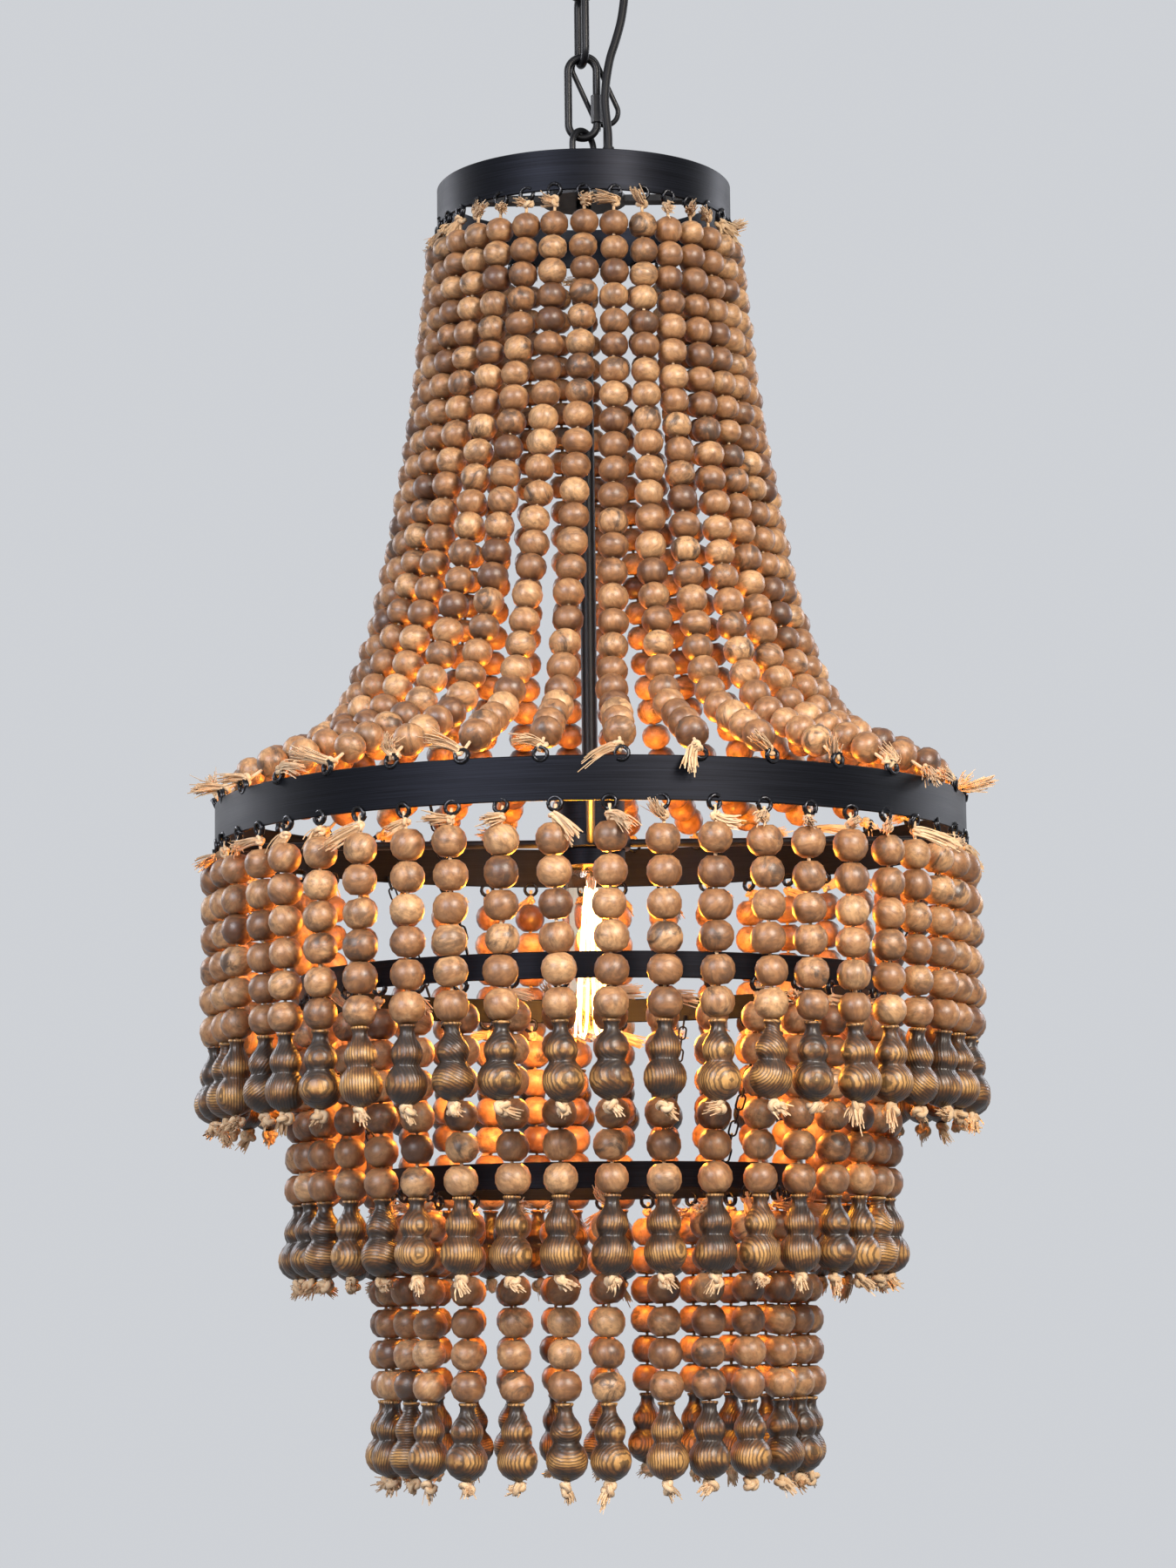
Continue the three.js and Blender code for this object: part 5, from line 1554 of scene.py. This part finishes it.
class CHANDELIER_OT_skirts(bpy.types.Operator):
    """Hangs the strands under the three lower hoops, each with its beads, finial, string and knots"""

    bl_idname = "chandelier.skirts"
    bl_label = "Skirts"

    def execute(self, context):
        sizes = context.scene.chandelier_sizes
        for tier_number, (tier_name, tier) in enumerate(TIERS.items()):
            random = np.random.default_rng(sizes.seed + 11 * (tier_number + 1))
            for curtain, numbers in enumerate(dealt(tier["strands"], tier["curtains"])):
                self.hang_curtain(sizes, random, f"{tier_name}_{curtain + 1}", tier, numbers)
        return {"FINISHED"}

    def hang_curtain(self, sizes, random, node, tier, numbers):
        """One curtain: each strand hangs straight down from under the edge, give or take a degree."""
        lean_spread, side_spread, press, seat_share = 0.008, 0.0013, 1.01, 0.49
        width, edge, _ = hoop_edges(tier["hoop"])
        angles = tier["angle"] + numbers * 360 / tier["strands"]
        count = len(angles)
        outward, tangent = polar(1.0, angles, 0.0), polar(1.0, angles + 90, 0.0)
        tops = polar(middle_radius(width), angles, edge - STRING_GAP)
        lean = random.normal(0, [lean_spread, lean_spread, 0], (count, 3)) - ALONG_Z
        depths = sizes.bead_lead - STRING_GAP + np.arange(sizes.bead_count) * sizes.bead_pitch
        hung = tops + tangent * random.normal(0, side_spread, (count, 1))
        centres = hung[:, None] + lean[:, None] * depths[None, :, None]
        ways = np.repeat(lean, sizes.bead_count, 0)
        widths, lengths = np.full((2, len(ways)), [[sizes.bead_width], [sizes.bead_pitch * press]])
        beads = strung(centres.reshape(-1, 3), ways, widths, lengths, random)
        add_piece(node + "_beads", beads, turned_bead_wood(), node, [node], ROUND_DEGREES)
        lips = hung + lean * (depths[-1] + sizes.bead_pitch * seat_share)
        finials = finials_at(lips, sizes.finial_length, random)
        add_piece(node + "_finials", finials, stained_finial_wood(), node, (), ROUND_DEGREES)
        feet = lips + lean * sizes.finial_length
        jute = self.tied(sizes, random, tops, hung, centres[:, 0], feet, lean, outward, tangent)
        add_piece(node + "_jute", jute, jute_twine(), node, (), ROUND_DEGREES)

    def tied(self, sizes, random, tops, hung, first_beads, feet, lean, outward, tangent):
        """The strings of a curtain, with a knot and a frayed end over each first bead and finial's foot."""
        head_drop, head_out, top_sink, foot_reach = 0.0072, 0.0005, 0.001, 0.002
        foot_scale, head_scale, knot_share, tail_share, foot_fibres = 1.2, 0.8, 0.36, 0.4, 34
        foot_lengths, head_lengths, side_shares = (0.004, 0.0075), (0.009, 0.015), [0.6, 0.4]
        count = len(feet)
        heads = (tops + hung) / 2 + outward * head_out + lean * head_drop
        knots = copies(
            knot_shape(sizes.knot_width),
            any_turns(random, 2 * count),
            np.vstack([feet + lean * sizes.knot_width * knot_share, heads]),
            np.repeat([foot_scale, head_scale], count),
        )
        # Foot tails hang down and to any side, and head tails lie out and along the hoop.
        sides = random.choice([-1.0, 1.0], (count, 1), p=side_shares)
        foot_way = outward * random.uniform(-0.4, 1, (count, 1))
        foot_way += tangent * random.normal(0, 0.8, (count, 1))
        foot_way[:, 2] -= random.uniform(0.1, 0.6, count)
        head_way = outward * random.uniform(0.3, 0.8, (count, 1))
        head_way += tangent * sides * random.uniform(0.6, 1.2, (count, 1))
        head_way[:, 2] += random.normal(-0.25, 0.3, count)
        foot_starts = feet + lean * sizes.knot_width * tail_share
        lengths = random.uniform(*foot_lengths, count)
        foot_tails = frayed_tails(foot_starts, foot_way, lengths, random, foot_fibres)
        head_tails = frayed_tails(heads, head_way, random.uniform(*head_lengths, count), random)
        lines = np.stack([tops + lean * top_sink, heads, first_beads, feet + lean * foot_reach], 1)
        return joined([knots, foot_tails, head_tails, strings(lines, sizes.string_radius)])


CLASSES = [
    ChandelierSizes,
    ChandelierColours,
    ChandelierStage,
    CHANDELIER_OT_stage,
    CHANDELIER_OT_flex,
    CHANDELIER_OT_ceiling,
    CHANDELIER_OT_links,
    CHANDELIER_OT_stem,
    CHANDELIER_OT_lamp,
    CHANDELIER_OT_hoops,
    CHANDELIER_OT_chains,
    CHANDELIER_OT_split_rings,
    CHANDELIER_OT_upper_strands,
    CHANDELIER_OT_skirts,
]
OPERATORS = [kind for kind in CLASSES if issubclass(kind, bpy.types.Operator)]
GROUPS = {
    "chandelier_sizes": ChandelierSizes,
    "chandelier_colours": ChandelierColours,
    "chandelier_stage": ChandelierStage,
}


class CHANDELIER_PT_panel(bpy.types.Panel):
    """Lists the chandelier's sizes, colours and steps."""

    bl_idname = "CHANDELIER_PT_panel"
    bl_label = "Chandelier"
    bl_space_type = "VIEW_3D"
    bl_region_type = "UI"
    bl_category = "Chandelier"

    def draw(self, context):
        for operator in OPERATORS:
            self.layout.operator(operator.bl_idname)
        for name, group in GROUPS.items():
            box = self.layout.box()
            for setting in group.__annotations__:
                box.prop(getattr(context.scene, name), setting)


def register():
    for kind in CLASSES + [CHANDELIER_PT_panel]:
        bpy.utils.register_class(kind)
    for name, group in GROUPS.items():
        setattr(bpy.types.Scene, name, bpy.props.PointerProperty(type=group))


def unregister():
    for name in GROUPS:
        delattr(bpy.types.Scene, name)
    for kind in reversed(CLASSES + [CHANDELIER_PT_panel]):
        bpy.utils.unregister_class(kind)


def main():
    register()
    for operator in OPERATORS:
        getattr(bpy.ops.chandelier, operator.bl_idname.split(".")[1])()


if __name__ == "__main__":
    main()
